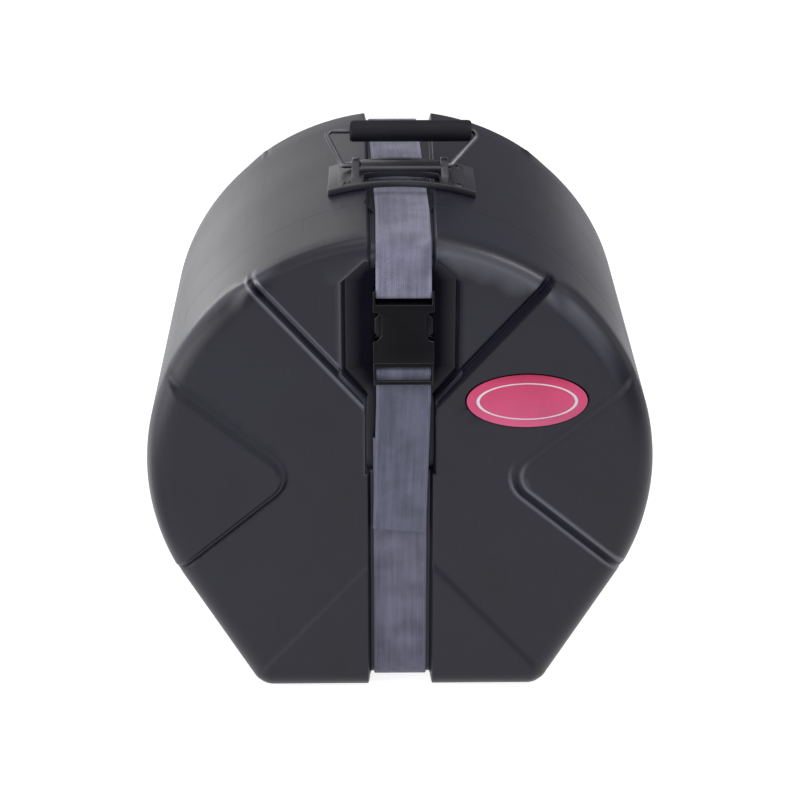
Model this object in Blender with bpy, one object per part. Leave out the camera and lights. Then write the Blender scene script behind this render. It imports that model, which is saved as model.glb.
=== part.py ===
"""Drum case in moulded polyethylene, for a drum about 356 mm across and 305 mm deep.

The case is a drum lying on its side, with a flat foot. Its lid is the front end, which fits over a
neck on the body. A webbing strap runs right round in a groove, under the handle, and closes over
the lid with a side-release buckle. Metres, +Z up, the lid faces -Y.
"""
import math

import bmesh
import bpy
from mathutils import Matrix, Vector

# Outline of the case, seen from the lid: a circle that stands on a flat foot
shell_radius = 0.240
foot_cut = 0.0034
foot_half_width = 0.1415
foot_corner_radius = 0.028
case_depth = 0.390
arc_steps = 48
corner_steps = 4

# Shell
wall = 0.004
fit_gap = 0.0003
overrun = 0.010
lid_depth = 0.097
neck_length = 0.040
neck_clearance = 0.0006
neck_ramp = 0.004

# Relief of both ends: four flat arms between raised pads, with a crown at the top
edge_radius = 0.025
crown_edge_radius = 0.012
rear_crown_edge_radius = 0.0185
foot_edge_radius = 0.019
edge_steps = 4
arm_recess = 0.002
crown_rise = 0.0006
crown_apex_rise = 0.0398
crown_half_angle = math.radians(41.05)
crown_edge_spread = math.radians(34.0)
crown_edge_blend = math.radians(9.0)
arm_line_width = 0.007
arm_line_depth = 0.003
side_pad_apex = 0.0953
side_pad_half_angle = math.radians(40.6)
side_pad_round = 0.026
foot_pad_apex_drop = 0.0516
foot_pad_half_angle = math.radians(41.4)
foot_pad_round = 0.012
soft_edge_run = 0.011
sharp_edge_run = 0.002
pad_steps = 5

# Strap and its groove
strap_width = 0.0508
strap_thickness = 0.002
upper_strap_shift = 0.003
groove_depth = 0.011
groove_half_floor = 0.0287
groove_half_mouth = 0.0300
groove_taper = 0.004
crown_loop_corner = 0.026
foot_loop_corner = 0.0225
rear_loop_corner = 0.0185
loop_steps = 5

# Pocket for the buckle
pocket_depth = 0.0163
pocket_half_width = 0.0555
pocket_top_rise = 0.198
pocket_neck_rise = 0.2195
pocket_foot_rise = 0.003
pocket_half_toe = 0.0330
pocket_draft = 0.0015

# Buckle, measured up from the circle's centre
buckle_half_width = 0.0280
buckle_thickness = 0.013
buckle_skin = 0.002
buckle_rail = 0.0020
bar_radius = 0.0025
housing_mouth_rise = 0.1174
housing_height = 0.057
housing_ears = 0.0135
housing_bar_rise = 0.0095
socket_half_width = 0.0268
socket_depth = 0.051
window_rise = 0.026
window_height = 0.024
window_inset = 0.005
insert_height = 0.0237
insert_block = 0.0046
insert_bar_drop = 0.0107
lip_height = 0.004
lip_thickness = 0.003
tongue_half_width = 0.005
tongue_length = 0.042
tongue_thickness = 0.006
prong_thickness = 0.008
prong_root_x = 0.0195
prong_root_radius = 0.0025
prong_length = 0.047
prong_pad_rise = 0.026
prong_pad_height = 0.019
prong_reach = 0.0266
prong_arm_width = 0.0045
tail_end_rise = -0.060
insert_travel = 0.052
sewn_length = 0.020

# Badge plate
badge_side_margin = 0.1226
badge_rise = 0.078
badge_half_width = 0.056
badge_half_height = 0.0267
badge_thickness = 0.0016
badge_recess = 0.0015
badge_chamfer = 0.0006
badge_steps = 32

# Foam
pad_thickness = 0.020
end_pad_thickness = 0.022
end_pad_margin = 0.0015

# Handle
handle_setback = 0.078
handle_shift = 0.003
pivot_rise = 0.0054
pivot_back = 0.008
foot_inner = 0.036
foot_outer = 0.0705
foot_front = 0.039
foot_back = 0.030
foot_thickness = 0.0065
frame_lip = 0.004
frame_steps = 8
bridge_front = 0.010
bridge_back = 0.011
bridge_top = 0.0104
bridge_thickness = 0.007
ear_shift = -0.0013
ear_inner = 0.0389
ear_outer = 0.0464
ear_front = 0.011
ear_back = 0.008
ear_top = 0.013
base_bevel = 0.0012
wire_radius = 0.0025
ear_bore_depth = 0.009
bail_lean = math.radians(54.5)
bail_slide = -0.0046
bail_skew = 0.0068
bail_length = 0.0413
bail_foot_x = 0.0526
bail_top_x = 0.0770
bail_foot_bend = 0.004
bail_top_bend = 0.0055
grip_radius = 0.0105
grip_length = 0.119
grip_slide = 0.0072
grip_cup_radius = 0.0066
grip_cup_depth = 0.008
grip_shoulder = 0.003
round_steps = 20

# Handle fixings, square to the shell
bolt_x = 0.0526
bolt_front = 0.031
bolt_back = -0.0215
bolt_radius = 0.0025
bolt_head_radius = 0.0052
bolt_head_height = 0.0026
plate_half_width = 0.010
plate_margin = 0.010
plate_thickness = 0.002
nut_radius = 0.0046
nut_height = 0.004
bolt_end = 0.001
bolt_steps = 12

centre_height = shell_radius - foot_cut
badge_x = shell_radius - badge_side_margin
front_y = -case_depth / 2
rear_y = case_depth / 2
rim_y = front_y + lid_depth
handle_y = rim_y + handle_setback
crown_z = centre_height + shell_radius
inner_end_depth = arm_recess + wall
neck_inset = wall + neck_clearance
loft_reach = 2 * shell_radius


def clear_scene():
    """Remove what the file opens with."""
    for thing in list(bpy.data.objects):
        bpy.data.objects.remove(thing, do_unlink=True)


def material(name, colour, roughness, metallic=0.0):
    """Make a plain Principled material."""
    made = bpy.data.materials.new(name)
    made.use_nodes = True
    shader = made.node_tree.nodes["Principled BSDF"]
    shader.inputs["Base Color"].default_value = (*colour, 1.0)
    shader.inputs["Roughness"].default_value = roughness
    shader.inputs["Metallic"].default_value = metallic
    return made


def link(name, mesh, look=None, sharp=30.0):
    """Put a mesh in the scene; without a look it is a cutter or a guide."""
    made = bpy.data.objects.new(name, mesh)
    bpy.context.scene.collection.objects.link(made)
    if look is None:
        made.hide_render = True
        made.display_type = "WIRE"
        return made
    mesh.materials.append(look)
    if hasattr(mesh, "shade_smooth"):
        mesh.shade_smooth()
        mesh.set_sharp_from_angle(angle=math.radians(sharp))
    return made


def mesh_from(name, points, faces):
    """Make a mesh whose faces all point out."""
    mesh = bpy.data.meshes.new(name)
    form = bmesh.new()
    corners = [form.verts.new(point) for point in points]
    for face in faces:
        form.faces.new([corners[index] for index in face])
    bmesh.ops.recalc_face_normals(form, faces=form.faces)
    form.to_mesh(mesh)
    form.free()
    return mesh


def loft(name, sections, closed=False):
    """Skin sections that have equal counts; the ends are capped unless the row closes."""
    count = len(sections[0])
    points = [point for section in sections for point in section]
    faces = []
    rows = len(sections)
    for row in range(rows if closed else rows - 1):
        here = row * count
        there = (row + 1) % rows * count
        for step in range(count):
            following = (step + 1) % count
            faces.append((here + step, here + following, there + following, there + step))
    if not closed:
        faces.append(tuple(range(count)))
        faces.append(tuple(range((rows - 1) * count, rows * count)))
    return mesh_from(name, points, faces)


def along_y(name, sections):
    """Skin (x, z) outlines that stand at given places along Y."""
    return loft(name, [[(x, y, z) for x, z in outline] for outline, y in sections])


def along_x(name, outline, low_x, high_x):
    """Extrude a (y, z) outline along X."""
    return loft(name, [[(x, y, z) for y, z in outline] for x in (low_x, high_x)])


def box(name, low, high):
    """Make a block from its lowest to its highest corner."""
    outline = [(low[0], low[2]), (high[0], low[2]), (high[0], high[2]), (low[0], high[2])]
    return along_y(name, [(outline, low[1]), (outline, high[1])])


def rod(name, start, end, radius, steps):
    """Make a straight round bar between two points."""
    start = Vector(start)
    way = Vector(end) - start
    turn = way.to_track_quat("Z", "Y").to_matrix()
    sections = []
    for place in (0.0, 1.0):
        ring = []
        for step in range(steps):
            angle = math.tau * step / steps
            spoke = Vector((radius * math.cos(angle), radius * math.sin(angle), 0.0))
            ring.append(start + way * place + turn @ spoke)
        sections.append(ring)
    return loft(name, sections)


def rounded(corners, radii, steps):
    """Round the inner corners of an open line in a plane."""
    line = [Vector(corners[0])]
    for index in range(1, len(corners) - 1):
        corner = Vector(corners[index])
        back = (Vector(corners[index - 1]) - corner).normalized()
        ahead = (Vector(corners[index + 1]) - corner).normalized()
        half = math.acos(max(-1.0, min(1.0, back.dot(ahead)))) / 2
        radius = radii[index - 1]
        centre = corner + (back + ahead).normalized() * radius / math.sin(half)
        first = corner + back * radius / math.tan(half) - centre
        last = corner + ahead * radius / math.tan(half) - centre
        for step in range(steps + 1):
            share = step / steps
            spoke = (first * (1 - share) + last * share).normalized() * radius
            line.append(centre + spoke)
    line.append(Vector(corners[-1]))
    return line


def band_outline(path, thickness):
    """Thicken an open (y, z) path into the closed edge of a flat band."""
    left, right = [], []
    for index, point in enumerate(path):
        before = path[max(index - 1, 0)]
        after = path[min(index + 1, len(path) - 1)]
        incoming = point - before if index else after - point
        outgoing = after - point if index < len(path) - 1 else point - before
        first = Vector((-incoming.y, incoming.x)).normalized()
        last = Vector((-outgoing.y, outgoing.x)).normalized()
        mitre = (first + last).normalized()
        offset = mitre * (thickness / 2) / mitre.dot(first)
        left.append(point + offset)
        right.append(point - offset)
    return left + right[::-1]


def webbing(name, path, centre_x, look):
    """Make a flat run of strap along a (y, z) path."""
    outline = band_outline(path, strap_thickness)
    low_x = centre_x - strap_width / 2
    return link(name, along_x(name, outline, low_x, low_x + strap_width), look)


def cut(target, tool, operation="DIFFERENCE"):
    """Cut a solid by another, or join or keep what they share."""
    step = target.modifiers.new(tool.name, "BOOLEAN")
    step.operation = operation
    step.object = tool
    step.solver = "EXACT"
    return target


def joined(name, meshes):
    """Gather separate solids into one mesh."""
    form = bmesh.new()
    for mesh in meshes:
        form.from_mesh(mesh)
        bpy.data.meshes.remove(mesh)
    gathered = bpy.data.meshes.new(name)
    form.to_mesh(gathered)
    form.free()
    return gathered


def pivot(name, place, parent=None):
    """Put an empty on a joint's axis."""
    made = bpy.data.objects.new(name, None)
    made.location = place
    bpy.context.scene.collection.objects.link(made)
    if parent is not None:
        hang(made, parent)
    return made


def world_place(thing):
    """Add up the places of a thing and of what it hangs on."""
    place = Vector((0.0, 0.0, 0.0))
    while thing is not None:
        place += Vector(thing.location) if thing.type == "EMPTY" else Vector((0.0, 0.0, 0.0))
        thing = thing.parent
    return place


def hang(thing, parent):
    """Hang a piece on an empty, and leave it where it is."""
    if thing.type == "EMPTY":
        thing.location = Vector(thing.location) - world_place(parent)
        thing.parent = parent
        return
    thing.parent = parent
    thing.matrix_parent_inverse = Matrix.Translation(-world_place(parent))


# Outline of the case

def outline_spokes():
    """List the outline as arc centres, radii and directions, so that it can be drawn inset."""
    reach = math.hypot(foot_half_width, centre_height)
    side_angle = math.acos(shell_radius / reach) - math.atan2(centre_height, foot_half_width)
    side_x, side_z = math.cos(side_angle), math.sin(side_angle)
    foot_drop = foot_corner_radius - centre_height
    corner_x = (shell_radius - foot_corner_radius - foot_drop * side_z) / side_x
    spokes = []
    for step in range(corner_steps):
        angle = -math.pi / 2 + (side_angle + math.pi / 2) * step / corner_steps
        spokes.append((corner_x, foot_corner_radius, foot_corner_radius, angle))
    sweep = math.pi - 2 * side_angle
    for step in range(arc_steps + 1):
        spokes.append((0.0, centre_height, shell_radius, side_angle + sweep * step / arc_steps))
    for step in range(1, corner_steps + 1):
        angle = math.pi - side_angle + (side_angle + math.pi / 2) * step / corner_steps
        spokes.append((-corner_x, foot_corner_radius, foot_corner_radius, angle))
    return spokes


def outline(inset):
    """Draw the case's outline, inset by an even amount."""
    return [(x + (radius - inset) * math.cos(angle), z + (radius - inset) * math.sin(angle))
            for x, z, radius, angle in outline_spokes()]


def edge_radius_at(spoke, side):
    """Give the radius of an end's rounded edge: smaller over the crown and under the foot."""
    _, _, radius, angle = spoke
    if radius == foot_corner_radius:
        small = foot_edge_radius
        share = min(1.0, abs(math.cos(angle)))
    else:
        small = crown_edge_radius if side < 0 else rear_crown_edge_radius
        share = (abs(angle - math.pi / 2) - crown_edge_spread) / crown_edge_blend
        share = max(0.0, min(1.0, share))
    return small + (edge_radius - small) * share


def tube_rings(stations):
    """Turn (y, inset) stations into rings of points."""
    return [[(x, y, z) for x, z in outline(inset)] for y, inset in stations]


def edge_rings(side, depth, inset):
    """Make the rings of an end's rounded edge, from the flank to a flat at a given depth."""
    flat_y = side * (case_depth / 2 - depth)
    rings = []
    for step in range(edge_steps + 1):
        turn = math.pi / 2 * step / edge_steps
        ring = []
        for spoke in outline_spokes():
            x, z, radius, angle = spoke
            edge = edge_radius_at(spoke, side) - inset
            reach = radius - inset - edge * (1 - math.cos(turn))
            ring.append((x + reach * math.cos(angle), flat_y - side * edge * (1 - math.sin(turn)),
                         z + reach * math.sin(angle)))
        rings.append(ring)
    return rings


# Relief of an end

def wedge(apex, half_angle, direction, radius, first_run, last_run):
    """Draw a rounded wedge that opens in a direction, with each side drawn in by its own run."""
    first = Vector((math.cos(direction - half_angle), math.sin(direction - half_angle)))
    last = Vector((math.cos(direction + half_angle), math.sin(direction + half_angle)))
    spread = math.sin(2 * half_angle)
    tip = Vector(apex) + (last * first_run + first * last_run) / spread
    return rounded([tip + first * loft_reach, tip, tip + last * loft_reach], [radius], pad_steps)


def raised_pad(name, side, apex, half_angle, direction, radius, runs):
    """Make one raised pad as a solid along Y that narrows towards its top."""
    top = wedge(apex, half_angle, direction, radius, *runs)
    base = wedge(apex, half_angle, direction, radius, 0.0, 0.0)
    deep = wedge(apex, half_angle, direction, radius, -runs[0], -runs[1])
    outer = side * case_depth / 2
    stations = [(top, outer + side * overrun), (top, outer)]
    stations += [(base, outer - side * arm_recess), (deep, outer - side * 2 * arm_recess)]
    return along_y(name, stations)


def end_relief(target, side, tag):
    """Sink an end's flat between its raised pads, and cut the lines along the crown's arms."""
    runs = (sharp_edge_run, soft_edge_run)
    centre = centre_height
    outer = side * case_depth / 2
    mouth = outer + side * overrun
    floor = outer - side * arm_recess
    sunk = link(tag + "_sunk_flat", box(
        tag + "_sunk_flat", (-loft_reach / 2, min(floor, mouth), -overrun),
        (loft_reach / 2, max(floor, mouth), crown_z + overrun)))
    cut(sunk, link(tag + "_right_pad", raised_pad(
        tag + "_right_pad", side, (side_pad_apex, centre), side_pad_half_angle, 0.0,
        side_pad_round, runs)))
    cut(sunk, link(tag + "_left_pad", raised_pad(
        tag + "_left_pad", side, (-side_pad_apex, centre), side_pad_half_angle, math.pi,
        side_pad_round, runs[::-1])))
    cut(sunk, link(tag + "_foot_pad", raised_pad(
        tag + "_foot_pad", side, (0.0, centre - foot_pad_apex_drop), foot_pad_half_angle,
        -math.pi / 2, foot_pad_round, (soft_edge_run, soft_edge_run))))
    apex = (0.0, centre + crown_apex_rise)
    region = wedge(apex, crown_half_angle, math.pi / 2, arm_line_width, 0.0, 0.0)
    cut(sunk, link(tag + "_crown", along_y(tag + "_crown", [
        (region, outer - side * 2 * arm_recess), (region, floor + side * crown_rise)])))
    cut(target, sunk)
    for hand in (-1, 1):
        name = f"{tag}_arm_line_{'left' if hand < 0 else 'right'}"
        cut(target, link(name, arm_line(name, side, hand, apex)))


def arm_line(name, side, hand, apex):
    """Make the cutter for the line between the crown and an arm: steep on the crown's side."""
    way = Vector((hand * math.sin(crown_half_angle), math.cos(crown_half_angle)))
    across = Vector((hand * math.cos(crown_half_angle), -math.sin(crown_half_angle)))
    start = Vector(apex) - way * arm_line_width
    end = start + way * loft_reach
    outer = side * case_depth / 2
    floor_share = (arm_line_depth + arm_recess + overrun) / arm_line_depth
    floor_width = across * arm_line_width / 4
    mouth_width = floor_width + across * arm_line_width * floor_share
    narrow = [start, end, end + floor_width, start + floor_width]
    wide = [start, end, end + mouth_width, start + mouth_width]
    return along_y(name, [(narrow, outer - side * (arm_recess + arm_line_depth)),
                          (wide, outer + side * overrun)])


# Groove for the strap

def strap_loop(offset):
    """Draw the closed (y, z) loop that lies an offset inside the case's end and crown lines."""
    line = []
    for side_y, side_z, corner, start in ((1, 1, rear_loop_corner, 0.0),
                                          (-1, 1, crown_loop_corner, 0.5),
                                          (-1, -1, foot_loop_corner, 1.0),
                                          (1, -1, rear_loop_corner, 1.5)):
        radius = corner - offset
        centre_y = side_y * (case_depth / 2 - corner)
        centre_z = crown_z - corner if side_z > 0 else corner
        for step in range(loop_steps + 1):
            angle = math.pi * (start + 0.5 * step / loop_steps)
            line.append((centre_y + radius * math.cos(angle), centre_z + radius * math.sin(angle)))
    return line


def groove_spread(y):
    """Give how much wider than at the front the groove is, for the shells' draft."""
    return groove_taper * (y - front_y) / case_depth


def groove_ring(name, depth, half_floor, half_mouth):
    """Make the ring that cuts the strap's groove, wider at its mouth than at its floor."""
    slope = (half_mouth - half_floor) / groove_depth
    half_outer = half_floor + slope * (depth + overrun)
    rings = []
    for hand, half, offset in ((-1, half_floor, depth), (-1, half_outer, -overrun),
                               (1, half_outer, -overrun), (1, half_floor, depth)):
        rings.append([(hand * (half + groove_spread(y)), y, z) for y, z in strap_loop(offset)])
    return loft(name, rings, closed=True)


def grown_groove(name, growth):
    """Make the groove's ring grown by an even amount, for the wall behind it and for the foam."""
    return groove_ring(name, groove_depth + growth, groove_half_floor + growth,
                       groove_half_mouth + growth)


def neck_blocks(name, depth, half_width, back_y):
    """Make the two blocks that let the neck, or its inside, pass the lid's groove."""
    front = rim_y - neck_length - overrun
    blocks = [box("crown_block", (-half_width, front, crown_z - depth),
                  (half_width, back_y, crown_z + overrun)),
              box("foot_block", (-half_width, front, -overrun), (half_width, back_y, depth))]
    return joined(name, blocks)


# Pocket for the buckle

def pocket_outline():
    """Draw the pocket's (x, z) outline at the face, anticlockwise."""
    centre = centre_height
    slope = math.tan(crown_half_angle)
    half = [(pocket_half_toe, pocket_foot_rise),
            (pocket_half_toe, crown_apex_rise + pocket_half_toe / slope),
            (pocket_half_width, crown_apex_rise + pocket_half_width / slope),
            (pocket_half_width, pocket_top_rise), (pocket_half_toe, pocket_neck_rise)]
    right = [Vector((x, centre + rise)) for x, rise in half]
    return right + [Vector((-point.x, point.y)) for point in right[::-1]]


def grown(points, growth):
    """Move each side of an anticlockwise outline out by an even amount."""
    moved = []
    for index, point in enumerate(points):
        back = (point - points[index - 1]).normalized()
        ahead = (points[(index + 1) % len(points)] - point).normalized()
        first = Vector((back.y, -back.x))
        last = Vector((ahead.y, -ahead.x))
        mitre = (first + last).normalized()
        moved.append(point + mitre * (growth / mitre.dot(first)))
    return moved


def pocket_block(name, growth):
    """Make the solid that cuts the pocket, narrower at its floor."""
    mouth = grown(pocket_outline(), growth)
    floor = grown(pocket_outline(), growth - pocket_draft)
    floor_y = front_y + pocket_depth + growth
    return along_y(name, [(mouth, front_y - overrun), (mouth, front_y), (floor, floor_y)])


# Shells

def make_lid(look):
    """Make the lid: a shallow cup with its relief, groove, pocket and badge recess."""
    rings = tube_rings([(rim_y, 0.0)]) + edge_rings(-1, 0.0, 0.0)
    lid = link("lid_shell", loft("lid_shell", rings), look)
    end_relief(lid, -1, "lid")
    cut(lid, link("lid_groove", grown_groove("lid_groove", 0.0)))
    cut(lid, link("lid_pocket", pocket_block("lid_pocket", 0.0)))
    cut(lid, link("lid_badge_seat", badge_plate("lid_badge_seat", fit_gap, badge_recess, overrun)))

    rings = tube_rings([(rim_y + overrun, wall)]) + edge_rings(-1, inner_end_depth, wall)
    hollow = link("lid_hollow", loft("lid_hollow", rings))
    cut(hollow, link("lid_groove_wall", grown_groove("lid_groove_wall", wall)))
    cut(hollow, link("lid_pocket_wall", pocket_block("lid_pocket_wall", wall)))
    return cut(lid, hollow)


def make_body(look):
    """Make the body: a deep cup with a neck that the lid slides over."""
    step_y = rim_y + fit_gap
    rings = tube_rings([(rim_y - neck_length, neck_inset), (step_y, neck_inset), (step_y, 0.0)])
    body = link("body_shell", loft("body_shell", rings + edge_rings(1, 0.0, 0.0)), look)
    end_relief(body, 1, "body")
    cut(body, link("body_groove", grown_groove("body_groove", 0.0)))
    ridge = wall + neck_clearance
    neck_floor = groove_depth + ridge
    neck_half = groove_half_mouth + groove_spread(step_y) + ridge
    cut(body, link("neck_notch", neck_blocks("neck_notch", neck_floor, neck_half, step_y)))

    ramp_y = step_y + neck_ramp
    rings = tube_rings([(rim_y - neck_length - overrun, neck_inset + wall),
                        (ramp_y, neck_inset + wall), (ramp_y + neck_ramp, wall)])
    hollow = link("body_hollow", loft("body_hollow", rings + edge_rings(1, inner_end_depth, wall)))
    cut(hollow, link("body_groove_wall", grown_groove("body_groove_wall", wall)))
    cut(hollow, link("neck_notch_wall", neck_blocks(
        "neck_notch_wall", neck_floor + wall, neck_half + wall, ramp_y)))
    cut(body, hollow)
    return cut(body, link("shell_bolt_holes", fixing_rods(
        "shell_bolt_holes", bolt_radius + fit_gap, -wall - overrun, overrun)))


# Foam

def make_foam(look):
    """Line both shells: a disc behind each end and a sleeve inside each wall."""
    clear = wall + fit_gap
    clearance = link("foam_groove_clearance", grown_groove("foam_groove_clearance", clear))
    disc_inset = edge_radius + end_pad_margin
    end_back = inner_end_depth + fit_gap
    disc = [(front_y + end_back, disc_inset), (front_y + end_back + end_pad_thickness, disc_inset)]
    lid_disc = link("lid_end_pad", loft("lid_end_pad", tube_rings(disc)), look)
    cut(lid_disc, clearance)
    cut(lid_disc, link("foam_pocket_clearance", pocket_block("foam_pocket_clearance", clear)))
    disc = [(-y, inset) for y, inset in disc]
    body_disc = link("body_end_pad", loft("body_end_pad", tube_rings(disc)), look)
    cut(body_disc, clearance)

    sleeve_end = inner_end_depth + edge_radius - wall + fit_gap
    lid_sleeve = sleeve("lid_side_pad", front_y + sleeve_end, rim_y - neck_length - fit_gap, look)
    cut(lid_sleeve, clearance)
    sleeve_front = rim_y + 2 * neck_ramp + 2 * fit_gap
    body_sleeve = sleeve("body_side_pad", sleeve_front, rear_y - sleeve_end, look)
    cut(body_sleeve, clearance)
    cut(body_sleeve, link("foam_plate_clearance", plate_clearance("foam_plate_clearance")))
    return [lid_disc, lid_sleeve], [body_disc, body_sleeve]


def sleeve(name, low_y, high_y, look):
    """Make a sleeve of foam that follows the inside of the shell."""
    outer = wall + fit_gap
    inner = outer + pad_thickness
    rings = tube_rings([(low_y, outer), (high_y, outer), (high_y, inner), (low_y, inner)])
    return link(name, loft(name, rings, closed=True), look)


# Badge

def badge_plate(name, growth, depth, proud):
    """Make an oval solid at the badge's place, from its seat's depth to a proud face."""
    half_width, half_height = badge_half_width + growth, badge_half_height + growth
    angles = [math.tau * step / badge_steps for step in range(badge_steps)]
    ring = [(badge_x + half_width * math.cos(angle),
             centre_height + badge_rise + half_height * math.sin(angle)) for angle in angles]
    face_y = front_y + arm_recess
    return along_y(name, [(ring, face_y + depth), (ring, face_y - proud)])


def make_badge(look):
    """Make the bare oval plate, with a broken edge."""
    depth = badge_recess - fit_gap
    badge = link("badge_plate", badge_plate("badge_plate", 0.0, depth, badge_thickness - depth), look)
    edge = badge.modifiers.new("broken_edge", "BEVEL")
    edge.width = badge_chamfer
    edge.segments = 1
    edge.limit_method = "ANGLE"
    return badge


# Buckle

def buckle_box(name, low, high):
    """Make a block in the buckle's own frame: x from its middle, rise from the circle's centre."""
    shift = Vector((upper_strap_shift, 0.0, centre_height))
    return box(name, Vector(low) + shift, Vector(high) + shift)


def buckle_front():
    """Give the front plane of the buckle: it lies on the pocket's floor."""
    return front_y + pocket_depth - fit_gap - buckle_thickness


def buckle_mid():
    """Give the middle plane of the buckle."""
    return buckle_front() + buckle_thickness / 2


def cross_bar(name, rise):
    """Make a round bar from rail to rail."""
    half = buckle_half_width - buckle_rail / 2
    height = centre_height + rise
    return rod(name, (upper_strap_shift - half, buckle_mid(), height),
               (upper_strap_shift + half, buckle_mid(), height), bar_radius, bolt_steps)


def make_housing(look):
    """Make the female half: a flat socket with side windows, two ears and the strap's bar."""
    front, back = buckle_front(), buckle_front() + buckle_thickness
    mouth = housing_mouth_rise
    top = mouth + housing_height
    half = buckle_half_width
    housing = link("buckle_housing", buckle_box(
        "buckle_housing", (-half, front, mouth), (half, back, top + housing_ears)), look)
    slot_half = half - buckle_rail
    cut(housing, link("housing_slot", buckle_box(
        "housing_slot", (-slot_half, front - overrun, top),
        (slot_half, back + overrun, top + housing_ears + overrun))))
    cut(housing, link("housing_socket", buckle_box(
        "housing_socket", (-socket_half_width, front + buckle_skin, mouth - overrun),
        (socket_half_width, back - buckle_skin, mouth + socket_depth))))
    low, high = mouth + window_rise, mouth + window_rise + window_height
    for hand in (-1, 1):
        name = "housing_window_left" if hand < 0 else "housing_window_right"
        near = hand * (half - window_inset)
        far = hand * (half + overrun)
        cut(housing, link(name, buckle_box(name, (min(near, far), front - overrun, low),
                                           (max(near, far), back + overrun, high))))
    cut(housing, link("housing_bar", cross_bar("housing_bar", top + housing_bar_rise)), "UNION")
    return housing


def make_insert(look):
    """Make the male half: two rails, a block, the webbing's bar, a lip and a guide tongue."""
    front, back = buckle_front(), buckle_front() + buckle_thickness
    top = housing_mouth_rise - fit_gap
    base = top - insert_height
    half = buckle_half_width
    insert = link("buckle_insert", buckle_box(
        "buckle_insert", (-half, front, base), (half, back, top)), look)
    slot_half = half - buckle_rail
    cut(insert, link("insert_slot", buckle_box(
        "insert_slot", (-slot_half, front - overrun, base - overrun),
        (slot_half, back + overrun, top - insert_block))))
    cut(insert, link("insert_bar", cross_bar("insert_bar", top - insert_bar_drop)), "UNION")
    rail_half = half - buckle_rail / 2
    lip_base = base + lip_height / 4
    cut(insert, link("insert_lip", buckle_box(
        "insert_lip", (-rail_half, front + fit_gap, lip_base),
        (rail_half, front + fit_gap + lip_thickness, lip_base + lip_height))), "UNION")
    mid = buckle_mid()
    cut(insert, link("insert_tongue", buckle_box(
        "insert_tongue", (-tongue_half_width, mid - tongue_thickness / 2, top - insert_block / 2),
        (tongue_half_width, mid + tongue_thickness / 2, top + tongue_length))), "UNION")
    return insert


def prong_axis(hand):
    """Give the point on a prong's bending axis."""
    rise = housing_mouth_rise + prong_root_radius
    return Vector((upper_strap_shift + hand * prong_root_x, buckle_mid(), centre_height + rise))


def make_prong(name, hand, look):
    """Make one sprung prong: a round root, a slim arm and the pad that shows in the window."""
    axis = prong_axis(hand)
    root = prong_root_radius
    arm = prong_arm_width
    pad_low = prong_pad_rise
    pad_high = prong_pad_rise + prong_pad_height
    reach = prong_reach - prong_root_x
    line = []
    for step in range(pad_steps + 1):
        angle = math.pi * (1 + step / pad_steps)
        line.append((root * math.cos(angle), root * math.sin(angle)))
    line += [(root, pad_low - arm), (reach, pad_low), (reach, pad_high - arm),
             (root - arm / 2, prong_length), (root - arm, prong_length)]
    shape = [(axis.x + hand * x, axis.z + z) for x, z in line]
    half = prong_thickness / 2
    return link(name, along_y(name, [(shape, axis.y - half), (shape, axis.y + half)]), look)


# Strap

def loop_runs():
    """Give the strap's resting depth, its bend over the lid, and its top and front lines."""
    middle = groove_depth - fit_gap - strap_thickness / 2
    return middle, crown_loop_corner - middle, crown_z - middle, front_y + middle


def make_strap(look):
    """Make the webbing: the run round the body, both runs over the lid, and the loose tail."""
    middle, radius, top_z, face_y = loop_runs()
    body_y = rim_y + fit_gap
    back_y = rear_y - middle
    rear_radius = rear_loop_corner - middle
    body_path = rounded([(body_y, top_z), (back_y, top_z), (back_y, middle), (body_y, middle)],
                        [rear_radius, rear_radius], loop_steps)
    body_run = webbing("strap_body_run", body_path, 0.0, look)

    mid = buckle_mid()
    wrap = bar_radius + fit_gap + strap_thickness / 2
    housing_top = housing_mouth_rise + housing_height
    bar_z = centre_height + housing_top + housing_bar_rise
    lead = housing_ears
    path = rounded([(rim_y, top_z), (face_y, top_z), (face_y, bar_z + 2 * lead)], [radius],
                   loop_steps)
    path.append(Vector((mid - wrap, bar_z + lead / 2)))
    path += [Vector((mid + wrap * math.cos(angle), bar_z + wrap * math.sin(angle)))
             for angle in (math.pi * (1 + step / (2 * loop_steps))
                           for step in range(2 * loop_steps + 1))]
    path.append(Vector((mid + wrap, bar_z + lead / 2)))
    layer = strap_thickness + fit_gap
    path.append(Vector((face_y + layer, bar_z + sewn_length)))
    upper_run = webbing("strap_upper_run", path, upper_strap_shift, look)

    top = housing_mouth_rise - fit_gap
    loop_z = centre_height + top - insert_bar_drop
    tuck_z = centre_height + top - insert_height
    lower_top = tuck_z - insert_travel - lip_height
    path = rounded([(rim_y, middle), (face_y, middle), (face_y, lower_top)],
                   [foot_loop_corner - middle], loop_steps)
    lower_run = webbing("strap_lower_run", path, 0.0, look)

    tail_y = face_y - layer
    path = [Vector((face_y, tuck_z - lip_height / 2)), Vector((face_y, tuck_z)),
            Vector((mid + wrap, loop_z - wrap / 2))]
    path += [Vector((mid + wrap * math.cos(angle), loop_z + wrap * math.sin(angle)))
             for angle in (math.pi * step / (2 * loop_steps) for step in range(2 * loop_steps + 1))]
    path += [Vector((mid - wrap, loop_z - wrap / 4)), Vector((tail_y, tuck_z + 2 * lip_height)),
             Vector((tail_y, centre_height + tail_end_rise))]
    tail = webbing("strap_tail", path, upper_strap_shift, look)
    return body_run, upper_run, lower_run, tail


# Handle

def ear_root():
    """Give the height inside the frame from which the ears and the bridge rise."""
    return crown_z - foot_thickness / 4


def pivot_y():
    """Give the place along Y of the bail's axis."""
    return handle_y + pivot_back


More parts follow.
